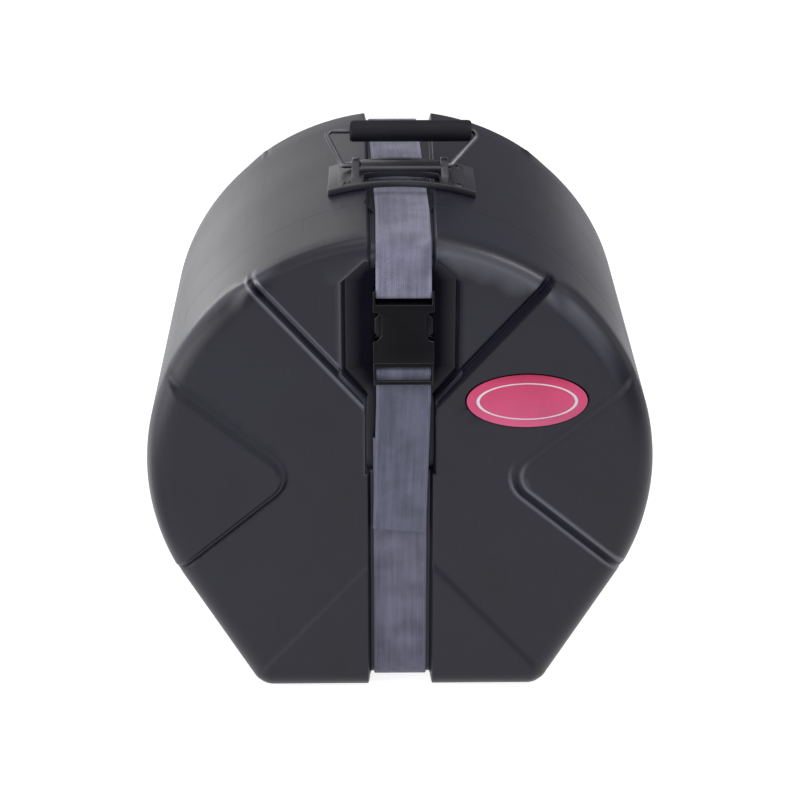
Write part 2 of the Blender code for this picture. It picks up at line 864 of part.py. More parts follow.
def bridge_profile():
    """Draw the (x, z) outline of the bridge over the strap."""
    top = crown_z + bridge_top
    under = top - bridge_thickness
    half = [(groove_half_mouth, under), (foot_inner + base_bevel, ear_root()),
            ((ear_inner + ear_outer) / 2, ear_root()), (foot_inner, top)]
    outline = half + [(-x, z) for x, z in half[::-1]]
    return [(x + handle_shift, z) for x, z in outline]


def frame_profile():
    """Draw the (x, z) outline of the frame that lies on the shell and follows its curve."""
    inner = shell_radius + fit_gap
    line = []
    for radius, way in ((inner, 1), (inner + foot_thickness, -1)):
        for step in range(-frame_steps, frame_steps + 1):
            x = way * foot_outer * step / frame_steps + handle_shift
            line.append((x, centre_height + math.sqrt(radius ** 2 - x ** 2)))
    return line


def make_handle_base(look):
    """Make the handle's base: a frame, two ears, and a bridge that the strap runs under."""
    frame = frame_profile()
    name = "handle_base"
    front, back = handle_y - foot_front, handle_y + foot_back
    base = link(name, along_y(name, [(frame, front), (frame, back)]), look)
    low, high = handle_shift - foot_inner, handle_shift + foot_inner
    reach = crown_z + foot_thickness + overrun
    windows = [box("window", (low, front + frame_lip, crown_z - overrun),
                   (high, handle_y - bridge_front, reach)),
               box("window", (low, handle_y + bridge_back, crown_z - overrun),
                   (high, back - frame_lip, reach))]
    cut(base, link("handle_windows", joined("handle_windows", windows)))
    profile = bridge_profile()
    bridge = along_y("handle_bridge", [(profile, handle_y - bridge_front),
                                       (profile, handle_y + bridge_back)])
    cut(base, link("handle_bridge", bridge), "UNION")
    middle, axis_y, height = handle_shift + ear_shift, pivot_y(), crown_z + pivot_rise
    ears = [box("ear", (min(hand * ear_inner, hand * ear_outer) + middle, handle_y - ear_front,
                        ear_root()),
                (max(hand * ear_inner, hand * ear_outer) + middle, axis_y + ear_back,
                 crown_z + ear_top)) for hand in (-1, 1)]
    cut(base, link("handle_ears", joined("handle_ears", ears)), "UNION")
    bores = [rod("bore", (hand * (ear_outer - ear_bore_depth) + middle, axis_y, height),
                 (hand * (ear_outer + overrun) + middle, axis_y, height),
                 wire_radius + fit_gap, round_steps) for hand in (-1, 1)]
    cut(base, link("handle_bores", joined("handle_bores", bores)))
    cut(base, link("handle_bolt_holes", fixing_rods(
        "handle_bolt_holes", bolt_radius + fit_gap, -overrun, foot_thickness + overrun)))
    seat = foot_thickness - bolt_head_height
    cut(base, link("handle_bolt_seats", fixing_rods(
        "handle_bolt_seats", bolt_head_radius + fit_gap, seat, foot_thickness + overrun)))
    edge = base.modifiers.new("soft_edges", "BEVEL")
    edge.width = base_bevel
    edge.segments = 1
    edge.limit_method = "ANGLE"
    edge.angle_limit = math.radians(50.0)
    return base


def bail_place(x, rise):
    """Turn a place in the bail's own plane into a place in the case."""
    return Vector((x + handle_shift + bail_slide, pivot_y() + rise * math.sin(bail_lean),
                   crown_z + pivot_rise + rise * math.cos(bail_lean)))


def make_bail(look):
    """Make the bail: one bent wire, set to one side, whose ends turn in through the ears."""
    middle = ear_shift - bail_slide
    corners = [(middle - ear_inner, 0.0), (-bail_foot_x, 0.0),
               (bail_skew - bail_top_x, bail_length), (bail_skew + bail_top_x, bail_length),
               (bail_foot_x, 0.0), (middle + ear_inner, 0.0)]
    bends = [bail_foot_bend, bail_top_bend, bail_top_bend, bail_foot_bend]
    path = rounded(corners, bends, pad_steps)
    curve = bpy.data.curves.new("handle_bail", "CURVE")
    curve.dimensions = "3D"
    curve.bevel_depth = wire_radius
    curve.bevel_resolution = 3
    curve.use_fill_caps = True
    line = curve.splines.new("POLY")
    line.points.add(len(path) - 1)
    for point, place in zip(line.points, path):
        point.co = (*bail_place(*place), 1.0)
    return link("handle_bail", curve, look)


def make_grip(look):
    """Make the rubber grip: a sleeve on the wire, with a cup at each end for the bends."""
    half = grip_length / 2
    cup = grip_cup_radius
    bore = wire_radius + fit_gap
    side = [(half - grip_cup_depth, bore), (half, cup), (half, grip_radius - grip_shoulder / 3),
            (half - grip_shoulder, grip_radius)]
    profile = side + [(-x, radius) for x, radius in side[::-1]]
    centre = bail_place(bail_skew + grip_slide, bail_length)
    rings = []
    for x, radius in profile:
        rings.append([centre + Vector((x, radius * math.cos(math.tau * step / round_steps),
                                       radius * math.sin(math.tau * step / round_steps)))
                      for step in range(round_steps)])
    return link("handle_grip", loft("handle_grip", rings, closed=True), look)


# Handle fixings

def shell_frame(hand, ahead):
    """Give the frame on the shell's surface at a fixing, with +Z outwards."""
    place = Matrix.Translation((0.0, handle_y - ahead, centre_height))
    turn = Matrix.Rotation(math.asin((hand * bolt_x + handle_shift) / shell_radius), 4, "Y")
    return place @ turn @ Matrix.Translation((0.0, 0.0, shell_radius))


def fixing_frames():
    """Name the four bolts' places, and give their frames."""
    return {f"{side}_{end}": shell_frame(hand, ahead)
            for side, hand in (("left", -1), ("right", 1))
            for end, ahead in (("front", bolt_front), ("back", bolt_back))}


def placed(mesh, frame):
    """Move a mesh into a frame."""
    mesh.transform(frame)
    return mesh


def fixing_rods(name, radius, low, high):
    """Make a rod at each bolt, as one cutter."""
    rods = [placed(rod(name, (0.0, 0.0, low), (0.0, 0.0, high), radius, bolt_steps), frame)
            for frame in fixing_frames().values()]
    return joined(name, rods)


def turned(name, profile, closed=False):
    """Turn a (radius, height) profile about +Z."""
    rings = []
    for radius, height in profile:
        angles = [math.tau * step / bolt_steps for step in range(bolt_steps)]
        rings.append([(radius * math.cos(angle), radius * math.sin(angle), height)
                      for angle in angles])
    return loft(name, rings, closed)


def make_fixings(look):
    """Make the bolts, the plates that spread their load inside the shell, and the nuts."""
    head_base = foot_thickness + 2 * fit_gap - bolt_head_height
    head_top = head_base + bolt_head_height
    plate_top = -wall - 2 * fit_gap
    nut_top = plate_top - plate_thickness - fit_gap
    nut_base = nut_top - nut_height
    bore = bolt_radius + fit_gap
    bolt = [(bolt_radius, nut_base - bolt_end), (bolt_radius, head_base),
            (bolt_head_radius, head_base), (bolt_head_radius, head_top - bolt_head_height / 2),
            (bolt_head_radius * 2 / 3, head_top)]
    nut = [(nut_radius, nut_top), (nut_radius, nut_base), (bore, nut_base), (bore, nut_top)]
    for place, frame in fixing_frames().items():
        name = "handle_bolt_" + place
        link(name, placed(turned(name, bolt), frame), look)
        name = "handle_nut_" + place
        link(name, placed(turned(name, nut, closed=True), frame), look)
    for side, hand in (("left", -1), ("right", 1)):
        name = "handle_plate_" + side
        plate = box(name, (-plate_half_width, -bolt_front - plate_margin,
                           plate_top - plate_thickness),
                    (plate_half_width, -bolt_back + plate_margin, plate_top))
        plate = link(name, placed(plate, shell_frame(hand, 0.0)), look)
        cut(plate, link(name + "_holes", fixing_rods(
            name + "_holes", bore, -wall - overrun, overrun)))


def plate_clearance(name):
    """Make the room that the plates, nuts and bolt ends need in the foam."""
    depth = wall + plate_thickness + nut_height + bolt_end + 5 * fit_gap
    half = plate_half_width + fit_gap
    margin = plate_margin + fit_gap
    rooms = [placed(box("room", (-half, -bolt_front - margin, -depth),
                        (half, -bolt_back + margin, overrun)), shell_frame(hand, 0.0))
             for hand in (-1, 1)]
    return joined(name, rooms)


def build():
    """Make every piece and hang the moving ones on their axes."""
    clear_scene()
    plastic = material("moulded_polyethylene", (0.030, 0.031, 0.036), 0.55)
    foam = material("charcoal_foam", (0.045, 0.045, 0.048), 0.95)
    web = material("grey_webbing", (0.115, 0.113, 0.150), 0.85)
    acetal = material("black_acetal", (0.012, 0.012, 0.014), 0.38)
    enamel = material("pink_enamel", (0.720, 0.060, 0.200), 0.30)
    nylon = material("black_nylon", (0.020, 0.020, 0.023), 0.45)
    rubber = material("black_rubber", (0.018, 0.019, 0.024), 0.50)
    steel = material("bright_steel", (0.550, 0.550, 0.560), 0.28, 1.0)

    make_body(plastic)
    lid = make_lid(plastic)
    lid_foam, _ = make_foam(foam)
    badge = make_badge(enamel)
    housing = make_housing(acetal)
    insert = make_insert(acetal)
    prongs = {-1: make_prong("buckle_prong_left", -1, acetal),
              1: make_prong("buckle_prong_right", 1, acetal)}
    _, upper_run, lower_run, tail = make_strap(web)
    make_handle_base(nylon)
    bail = make_bail(steel)
    grip = make_grip(rubber)
    make_fixings(steel)

    lid_slide = pivot("lid_slide", (0.0, rim_y, centre_height))
    for piece in [lid, badge, housing, upper_run, lower_run] + lid_foam:
        hang(piece, lid_slide)
    mouth = (upper_strap_shift, buckle_mid(), centre_height + housing_mouth_rise)
    insert_slide = pivot("buckle_release", mouth, lid_slide)
    for piece in (insert, tail):
        hang(piece, insert_slide)
    for hand, prong in prongs.items():
        name = "prong_squeeze_left" if hand < 0 else "prong_squeeze_right"
        hang(prong, pivot(name, prong_axis(hand), insert_slide))
    bail_fold = pivot("bail_fold", bail_place(0.0, 0.0))
    for piece in (bail, grip):
        hang(piece, bail_fold)


build()
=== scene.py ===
"""Looks for a moulded drum case: skins with their relief, foam, strap, buckle, badge and handle."""
import math
import bmesh
import bpy
import numpy as np
from mathutils import Matrix, Vector
from mathutils.geometry import delaunay_2d_cdt


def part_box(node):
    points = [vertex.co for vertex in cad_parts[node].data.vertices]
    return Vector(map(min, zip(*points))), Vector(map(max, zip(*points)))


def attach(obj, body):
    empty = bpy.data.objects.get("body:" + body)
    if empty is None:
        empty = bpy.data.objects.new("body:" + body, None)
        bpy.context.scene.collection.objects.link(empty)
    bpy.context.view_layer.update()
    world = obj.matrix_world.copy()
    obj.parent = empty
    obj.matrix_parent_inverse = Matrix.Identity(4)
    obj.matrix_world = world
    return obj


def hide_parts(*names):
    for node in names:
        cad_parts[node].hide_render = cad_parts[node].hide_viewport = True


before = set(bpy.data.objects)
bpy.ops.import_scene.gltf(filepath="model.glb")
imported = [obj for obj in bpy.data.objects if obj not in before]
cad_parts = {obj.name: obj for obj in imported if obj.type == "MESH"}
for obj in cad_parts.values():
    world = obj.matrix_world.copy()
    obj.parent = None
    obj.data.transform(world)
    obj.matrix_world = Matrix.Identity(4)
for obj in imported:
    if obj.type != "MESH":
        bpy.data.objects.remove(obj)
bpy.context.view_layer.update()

# Camera and studio. Straight onto the lid from a little above, through a long lens, against white
# paper, which shows in the black plastic. A large soft light stands low on the left. Weaker ones,
# and grey cards that the camera doesn't see, stand behind, on the right, overhead and in front.
photo_width = 800
sensor_width = 36.0
focal_pixels = 2118.0
optical_axis_pixels = (398.0, 396.6)
camera_distance = 2.17
camera_azimuth = math.radians(-0.67)
camera_elevation = math.radians(25.4)
camera_target = Vector((0.0, 0.0, 0.2286))

lens = bpy.data.cameras.new("lens")
lens.sensor_width = sensor_width
lens.lens = focal_pixels * sensor_width / photo_width
lens.shift_x = (photo_width / 2 - optical_axis_pixels[0]) / photo_width
lens.shift_y = (optical_axis_pixels[1] - photo_width / 2) / photo_width


def placed(name, data):
    """Put an object with this data in the scene."""
    made = bpy.data.objects.new(name, data)
    bpy.context.scene.collection.objects.link(made)
    return made


camera = placed("camera", lens)
backwards = Vector((math.sin(camera_azimuth) * math.cos(camera_elevation),
                    -math.cos(camera_azimuth) * math.cos(camera_elevation),
                    math.sin(camera_elevation)))
camera.location = camera_target + backwards * camera_distance
camera.rotation_euler = backwards.to_track_quat("Z", "Y").to_euler()
bpy.context.scene.camera = camera
bpy.context.scene.view_settings.view_transform = "Standard"

for name, place, aim, width, height, watts in (
        ("left_softbox", (-1.5, -0.75, 0.42), (0.0, 0.0, 0.25), 1.2, 0.9, 15.0),
        ("right_softbox", (1.2, -0.8, 1.7), (0.0, -0.1, 0.25), 0.6, 0.6, 13.0),
        ("rear_left", (-2.0, 2.4, 0.75), (0.0, 0.0, 0.3), 1.0, 1.2, 11.0),
        ("front_fill", (-0.4, -2.3, 1.6), (0.0, 0.0, 0.2), 1.4, 1.0, 4.5),
        ("overhead", (-0.1, -0.3, 2.2), (0.0, 0.0, 0.2), 1.2, 1.2, 7.0)):
    lamp = bpy.data.lights.new(name, "AREA")
    lamp.shape = "RECTANGLE"
    lamp.size = width
    lamp.size_y = height
    lamp.energy = watts
    soft_light = placed(name, lamp)
    soft_light.location = place
    soft_light.rotation_euler = (Vector(place) - Vector(aim)).to_track_quat("Z", "Y").to_euler()


def emptied(owner):
    """Open the node tree of a world or a material, without its nodes."""
    owner.use_nodes = True
    owner.node_tree.nodes.clear()
    return owner.node_tree


def fill(tree, pairs):
    """Set each socket to a number, a vector or a colour, or link it to another socket."""
    for socket, value in pairs:
        if isinstance(value, bpy.types.NodeSocket):
            tree.links.new(value, socket)
        elif socket.type == "RGBA" and len(value) == 3:
            socket.default_value = (*value, 1.0)
        else:
            socket.default_value = value


def feed(tree, node, **inputs):
    """Fill a node's inputs by name."""
    fill(tree, [(node.inputs[label.replace("_", " ")], value) for label, value in inputs.items()])
    return node


def new_node(tree, kind, *values, **inputs):
    """Add a shader node and fill its inputs, by place or by name."""
    node = tree.nodes.new("ShaderNode" + kind)
    fill(tree, zip(node.inputs, values))
    return feed(tree, node, **inputs)


def math_node(tree, operation, *values):
    """Add a Math node on numbers or sockets."""
    node = new_node(tree, "Math", *values)
    node.operation = operation
    return node.outputs[0]


def shown(tree, kind, scattered, straight):
    """Show one shader to scattered rays, and another to the camera, mirrors and clear parts."""
    path = new_node(tree, "LightPath").outputs
    either = math_node(tree, "MAXIMUM", path["Is Camera Ray"], path["Is Glossy Ray"])
    either = math_node(tree, "MAXIMUM", either, path["Is Transmission Ray"])
    choice = new_node(tree, "MixShader", either, scattered, straight)
    new_node(tree, "Output" + kind, Surface=choice.outputs[0])


world = bpy.data.worlds.new("studio")
bpy.context.scene.world = world
tree = emptied(world)
dim = new_node(tree, "Background", Color=(0.80, 0.86, 1.0), Strength=0.32)
white = new_node(tree, "Background", Color=(1.0, 1.0, 1.0), Strength=1.0)
shown(tree, "World", dim.outputs[0], white.outputs[0])


def sheet(name, corners, paper):
    """Set up a flat sheet of paper in the studio."""
    mesh = bpy.data.meshes.new(name)
    mesh.from_pydata(corners, [], [(0, 1, 2, 3)])
    mesh.materials.append(paper)
    return placed(name, mesh)


paper = bpy.data.materials.new("studio_paper")
tree = emptied(paper)
matt = new_node(tree, "BsdfDiffuse", Color=(0.62, 0.62, 0.62)).outputs[0]
glow = new_node(tree, "Emission", Strength=0.86).outputs[0]
shown(tree, "Material", matt, new_node(tree, "AddShader", matt, glow).outputs[0])
floor_half = 6.0
floor = sheet("floor", [(-floor_half, -floor_half, 0.0), (floor_half, -floor_half, 0.0),
                        (floor_half, floor_half, 0.0), (-floor_half, floor_half, 0.0)], paper)

grey = bpy.data.materials.new("grey_paper")
tree = emptied(grey)
grey_glow = new_node(tree, "Emission", Color=(0.26, 0.26, 0.28))
new_node(tree, "OutputMaterial", Surface=grey_glow.outputs[0])
for name, corners in (
        ("rear_card", [(0.10, 2.6, 0.15), (3.4, 2.0, 0.15), (3.4, 2.0, 3.2), (-0.70, 2.6, 3.2)]),
        ("low_card", [(1.0, -2.1, 0.01), (1.3, 0.1, 0.01), (1.3, 0.1, 0.60), (1.0, -2.1, 0.60)]),
        ("rear_mat", [(0.85, 0.5, 0.004), (2.8, 0.5, 0.004), (2.8, 2.4, 0.004),
                      (0.95, 2.4, 0.004)])):
    card = sheet(name, corners, grey)
    card.visible_camera = False

# Body shell and lid. Two cups of black polyethylene, each moulded in one piece: a round flank with
# a flat foot, an end with raised pads, and a groove for the strap. The lid, whose side is -1, fits
# over the body's neck, and has a pocket for the buckle and a seat for the badge.
shell_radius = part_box("body_shell")[1][0]
crown_z = 0.4766
centre_height = crown_z - shell_radius
half_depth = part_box("body_shell")[1][1]
foot_half_width = 0.1415
foot_corner = 0.028
wall = 0.004
edge_radius = 0.025
crown_edge_radius = 0.012
rear_crown_edge_radius = 0.0185
foot_edge_radius = 0.019
crown_edge_spread = math.radians(34.0)
crown_edge_blend = math.radians(9.0)
rim_y = -0.098
join_gap = 0.0003
neck_front_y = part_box("body_shell")[0][1]
neck_inset = 0.0046
groove_depth = 0.011
crown_groove_corner = 0.026
foot_groove_corner = 0.0225
rear_groove_corner = 0.0185
groove_reach = 0.040
groove_half_floor = 0.0279
groove_half_mouth = 0.0318
groove_taper = 0.004
groove_drift = 0.0014
flat_rims = {-1: 0.060, 1: 0.130}
spokes = 240
mesh_pitch = 0.012
grid_clear = 0.028
relief_limit = 0.012
bend_steps = 10

side_angle = math.acos(shell_radius / math.hypot(foot_half_width, centre_height)) \
    - math.atan2(centre_height, foot_half_width)
side_normal = np.array((math.cos(side_angle), math.sin(side_angle)))
side_way = np.array((math.sin(side_angle), -math.cos(side_angle)))
side_start = np.array((0.0, centre_height)) + shell_radius * side_normal
foot_centre = np.array(((shell_radius - foot_corner - (foot_corner - centre_height)
                         * side_normal[1]) / side_normal[0], foot_corner))
side_length = float((foot_centre + foot_corner * side_normal - side_start) @ side_way)


def smooth(share):
    """Ease from 0 to 1."""
    share = np.clip(share, 0.0, 1.0)
    return share * share * share * (share * (share * 6.0 - 15.0) + 10.0)


def outline_distance(plane):
    """Signed distance from the case's outline, and the outward normal there, for (x, z) points."""
    hand = np.where(plane[:, 0] < 0, -1.0, 1.0)
    point = np.stack((np.abs(plane[:, 0]), plane[:, 1]), 1)
    spoke = point - (0.0, centre_height)
    length = np.maximum(np.hypot(spoke[:, 0], spoke[:, 1]), 1e-9)
    distance = length - shell_radius
    normal = spoke / length[:, None]
    lower = np.arctan2(spoke[:, 1], spoke[:, 0]) < side_angle
    run = (point - side_start) @ side_way
    side_distance = (point - side_start) @ side_normal
    corner = point - foot_centre
    corner_length = np.maximum(np.hypot(corner[:, 0], corner[:, 1]), 1e-9)
    on_corner = lower & (run > side_length) & (corner[:, 0] > 0) & (corner_length > 1e-6)
    on_foot = lower & ~on_corner & (-point[:, 1] > side_distance)
    on_side = lower & ~on_corner & ~on_foot
    distance = np.where(on_side, side_distance, distance)
    distance = np.where(on_foot, -point[:, 1], distance)
    distance = np.where(on_corner, corner_length - foot_corner, distance)
    normal[on_side] = side_normal
    normal[on_foot] = (0.0, -1.0)
    normal[on_corner] = corner[on_corner] / corner_length[on_corner, None]
    normal[:, 0] *= hand
    return distance, normal


def edge_radius_at(normal, side):
    """Radius of an end's rounded edge: small over the crown and under the foot."""
    angle = np.arctan2(normal[:, 1], np.abs(normal[:, 0]))
    crown = smooth((math.pi / 2 - angle - crown_edge_spread) / crown_edge_blend)
    foot = smooth((angle + math.pi / 2) / (side_angle + math.pi / 2))
    share = np.where(angle > 0, crown, foot)
    small = np.where(angle > 0, crown_edge_radius if side < 0 else rear_crown_edge_radius,
                     foot_edge_radius)
    return small + (edge_radius - small) * share


def groove_middle(z):
    """How far to the right of the case's middle the groove lies: a little, over the top."""
    return groove_drift * smooth((z - 0.30) / 0.13)


def groove_spread(y):
    """How much wider than at the front the groove is, for the draft of the shells."""
    return groove_taper * np.clip((y + half_depth) / (2 * half_depth), 0.0, 1.0)


# Relief of an end, as depth behind its highest pads, over (x, height above the circle's centre).
arm_level = 0.0034
inner_level = 0.0026
crown_level = 0.0020
pad_apex = 0.0953
pad_half_angle = math.radians(40.6)
pad_round = 0.026
pad_soft_run = 0.0105
pad_sharp_run = 0.0050
pad_gutter_width = 0.0050
pad_gutter_depth = 0.0018
foot_pad_apex = -0.0516
foot_pad_half_angle = math.radians(41.4)
foot_pad_run = 0.0125
crown_apex = 0.0398
crown_half_angle = math.radians(41.05)
line_places = np.array((-0.0070, -0.0030, 0.0030, 0.0070))
line_levels = np.array((arm_level, 0.0002, 0.0050, crown_level))


def pad_distance(x, rise):
    """Distance inside a side pad's rounded wedge, and how far up its edge lies (0 low, 1 high)."""
    sine, cosine = math.sin(pad_half_angle), math.cos(pad_half_angle)
    reach = np.abs(x) - pad_apex
    inside = reach * sine - np.abs(rise) * cosine
    from_centre = reach - pad_round / sine
    length = np.hypot(from_centre, rise)
    in_corner = np.arctan2(np.abs(rise), -from_centre) < math.pi / 2 - pad_half_angle
    inside = np.where(in_corner & (from_centre < 0), pad_round - length, inside)
    return inside, smooth(0.5 + rise / (1.6 * pad_round))


def wedge_distance(x, rise, apex, half_angle):
    """Distance inside a wedge that opens upwards from its apex, negative outside."""
    return (rise - apex) * math.sin(half_angle) - np.abs(x) * math.cos(half_angle)


def hump(place, middle, half):
    """Rise from 0 to 1 at a middle, and fall again."""
    return np.clip(1.0 - np.abs(place - middle) / half, 0.0, 1.0)


def end_relief(x, rise):
    """Depth of an end behind its highest pads."""
    inside, high = pad_distance(x, rise)
    run = pad_sharp_run + (pad_soft_run - pad_sharp_run) * high
    inside_foot = wedge_distance(x, -rise, -foot_pad_apex, foot_pad_half_angle)
    raised = np.maximum(smooth(inside / run), smooth(inside_foot / foot_pad_run))
    gutter = smooth(hump(inside, -pad_gutter_width / 2, pad_gutter_width / 2))
    gutter = gutter * (1.0 - high) * pad_gutter_depth
    beyond = wedge_distance(x, rise, crown_apex, crown_half_angle)
    step = np.clip(np.searchsorted(line_places, beyond) - 1, 0, len(line_places) - 2)
    share = (beyond - line_places[step]) / (line_places[step + 1] - line_places[step])
    level = line_levels[step] + (line_levels[step + 1] - line_levels[step]) * smooth(share)
    return np.where(beyond > line_places[0], level, arm_level * (1.0 - raised) + gutter)


pocket_depth = 0.0163
pocket_run = 0.0062
pocket_toe_run = 0.0016
pocket_half_toe = 0.0334
pocket_half_width = 0.0560
pocket_rises = (0.002, 0.198, 0.2195)


def pocket_outline():
    """The buckle pocket's outline at the face, as (x, z), anticlockwise."""
    slope = math.tan(crown_half_angle)
    half = [(pocket_half_toe, pocket_rises[0]),
            (pocket_half_toe, crown_apex + pocket_half_toe / slope),
            (pocket_half_width, crown_apex + pocket_half_width / slope),
            (pocket_half_width, pocket_rises[1]), (pocket_half_toe, pocket_rises[2])]
    right = [Vector((x, centre_height + rise)) for x, rise in half]
    return right + [Vector((-point.x, point.y)) for point in right[::-1]]


def grown(points, growth):
    """Move each side of an anticlockwise outline out by an even amount."""
    moved = []
    for index, point in enumerate(points):
        back = (point - points[index - 1]).normalized()
        ahead = (points[(index + 1) % len(points)] - point).normalized()
        first = Vector((back.y, -back.x))
        last = Vector((ahead.y, -ahead.x))
        mitre = (first + last).normalized()
        moved.append(point + mitre * (growth / mitre.dot(first)))
    return moved


def inside_pocket(plane, growth):
    """Distance inside the pocket's outline, grown by an even amount; negative outside."""
    corners = grown(pocket_outline(), growth)
    x, z = np.abs(plane[:, 0]), plane[:, 1]
    toe = x - (pocket_half_toe + growth)
    slope = (z - centre_height - crown_apex) * math.sin(crown_half_angle) \
        - (x - growth) * math.cos(crown_half_angle)
    low = z < centre_height + crown_apex + pocket_half_width / math.tan(crown_half_angle)
    wide = np.minimum(pocket_half_width + growth - x, centre_height + pocket_rises[2] + growth - z)
    lower = np.minimum(np.maximum(-toe, slope), z - centre_height - pocket_rises[0] + growth)
    upper_way = (corners[4] - corners[3]).normalized()
    upper = (z - corners[3].y) * upper_way.x - (x - corners[3].x) * upper_way.y
    return np.where(low, np.minimum(lower, wide), np.minimum(wide, upper))


def pocket_run_at(z):
    """How far in the pocket's wall reaches its floor: steep at the toe, softer above."""
    return pocket_toe_run + (pocket_run - pocket_toe_run) * smooth((z - 0.300) / 0.035)


badge_low, badge_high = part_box("badge_plate")
badge_centre = ((badge_low[0] + badge_high[0]) / 2, (badge_low[2] + badge_high[2]) / 2)
badge_half = ((badge_high[0] - badge_low[0]) / 2, (badge_high[2] - badge_low[2]) / 2)
badge_seat_depth = 0.0014
badge_seat_run = 0.0012


def neck_stations(side, inner):
    """How a skin goes on past the rim: (way in the flattened cup, inset, way back) in turn."""
    if side < 0 or inner:
        return [(0.0, 0.0, 0.0)]
    step = 0.004
    neck = rim_y - neck_front_y
    return [(0.0, 0.0, 0.0), (step, neck_inset, 0.0), (step + neck, neck_inset, neck)]


def skin_points(plane, side, inner):
    """Fold (x, z) points of the flattened cup into the skin of an end, its flank and its rim."""
    lid = side < 0
    skin = wall if inner else 0.0
    distance, normal = outline_distance(plane)
    foot_points = plane - normal * distance[:, None]
    radius = edge_radius_at(normal, side)
    turn = np.clip((distance + radius) / radius, 0.0, math.pi / 2)
    flank_start = radius * (math.pi / 2 - 1.0)
    depth_to_rim = (rim_y + half_depth) if lid else (half_depth - rim_y - join_gap)
    along = np.clip((distance - flank_start) / (flat_rims[side] - flank_start), 0.0, 1.0)
    face_back = (inner_level + wall) if inner else 0.0
    edge = radius - skin
    ways, neck_insets, neck_backs = zip(*neck_stations(side, inner))
    beyond = np.maximum(distance - flat_rims[side], 0.0)
    past_inset = np.interp(beyond, ways, neck_insets)
    past_back = np.interp(beyond, ways, neck_backs)
    inset = skin + edge * (1.0 - np.sin(turn))
    back = face_back + edge * (1.0 - np.cos(turn))
    back = back + (depth_to_rim - face_back - edge) * along
    inset = inset + past_inset
    back = back + past_back
    on_face = distance < -radius
    x = np.where(on_face, plane[:, 0], foot_points[:, 0] - normal[:, 0] * inset)
    z = np.where(on_face, plane[:, 1], foot_points[:, 1] - normal[:, 1] * inset)
    if not inner:
        depth = end_relief(plane[:, 0], plane[:, 1] - centre_height)
        if lid:
            oval = np.hypot((plane[:, 0] - badge_centre[0]) / badge_half[0],
                            (plane[:, 1] - badge_centre[1]) / badge_half[1])
            inside = (1.0 - oval) * badge_half[1] + badge_seat_run
            depth = depth + badge_seat_depth * smooth(inside / badge_seat_run)
        depth = depth * np.cos(turn)
        x = x - normal[:, 0] * np.sin(turn) * depth
        z = z - normal[:, 1] * np.sin(turn) * depth
        back = back + np.cos(turn) * depth
    if lid:
        inside = inside_pocket(np.stack((x, z), 1), skin)
        sunk = (pocket_depth + skin) * smooth(inside / pocket_run_at(z))
        back = np.where(on_face, np.maximum(back, sunk), back)

    # The groove: between its walls, the skin goes down to the groove's floor.
    high = z > centre_height
    gap = np.where(high, crown_z - z, z)
    corner = np.where(high, crown_groove_corner, foot_groove_corner) if lid else rear_groove_corner
    floor_radius = corner - groove_depth - skin
    floor_gap = corner - floor_radius * np.sin(turn)
    floor_back = corner - floor_radius * np.cos(turn)
    free = (groove_reach - corner) / (groove_reach - radius)
    face_gap = np.where(gap < groove_reach, corner + (gap - radius) * free, gap)
    base_back = back - past_back
    flank_back = np.where(base_back < groove_reach, corner + (base_back - radius) * free, base_back)
    on_flank = distance >= flank_start
    floor_gap = np.where(on_face, face_gap, floor_gap)
    floor_back = np.where(on_flank, flank_back + (back - base_back), floor_back)
    floor_gap = np.where(on_flank, groove_depth + skin + past_inset, floor_gap)
    floor_back = np.where(on_face, np.maximum(back, groove_depth + skin), floor_back)
    floor_z = np.where(high, crown_z - floor_gap, floor_gap)
    spread = skin + past_inset + groove_spread(side * (half_depth - back))
    share = (np.abs(x - groove_middle(z)) - groove_half_floor - spread) \
        / (groove_half_mouth - groove_half_floor)
    weight = 1.0 - smooth(share)
    z = z * (1.0 - weight) + floor_z * weight
    back = back * (1.0 - weight) + floor_back * weight
    return np.stack((x, side * (half_depth - back), z), 1)


def arc_samples(centre_x, centre_z, radius, first, last, steps):
    """Points and normals along an arc, up to its last point, as (x, z, normal x, normal z)."""
    angles = [first + (last - first) * step / steps for step in range(steps)]
    return [(centre_x + radius * math.cos(angle), centre_z + radius * math.sin(angle),
             math.cos(angle), math.sin(angle)) for angle in angles]


def outline_samples():
    """Points and normals along the outline, by even turns of arc and even steps of line."""
    foot_steps, corner_steps, side_steps = 14, 8, 14
    arc_steps = (spokes - 2 * (foot_steps + corner_steps + side_steps)) // 2
    low = foot_centre + foot_corner * side_normal
    samples = [(foot_centre[0] * step / foot_steps, 0.0, 0.0, -1.0) for step in range(foot_steps)]
    samples += arc_samples(*foot_centre, foot_corner, -math.pi / 2, side_angle, corner_steps)
    samples += [(*(low + (side_start - low) * step / side_steps), *side_normal)
                for step in range(side_steps)]
    samples += arc_samples(0.0, centre_height, shell_radius, side_angle, math.pi / 2, arc_steps)
    mirrored = [(-x, z, -normal_x, normal_z) for x, z, normal_x, normal_z in samples[1:]]
    return np.array(samples + [(0.0, crown_z, 0.0, 1.0)] + mirrored[::-1])


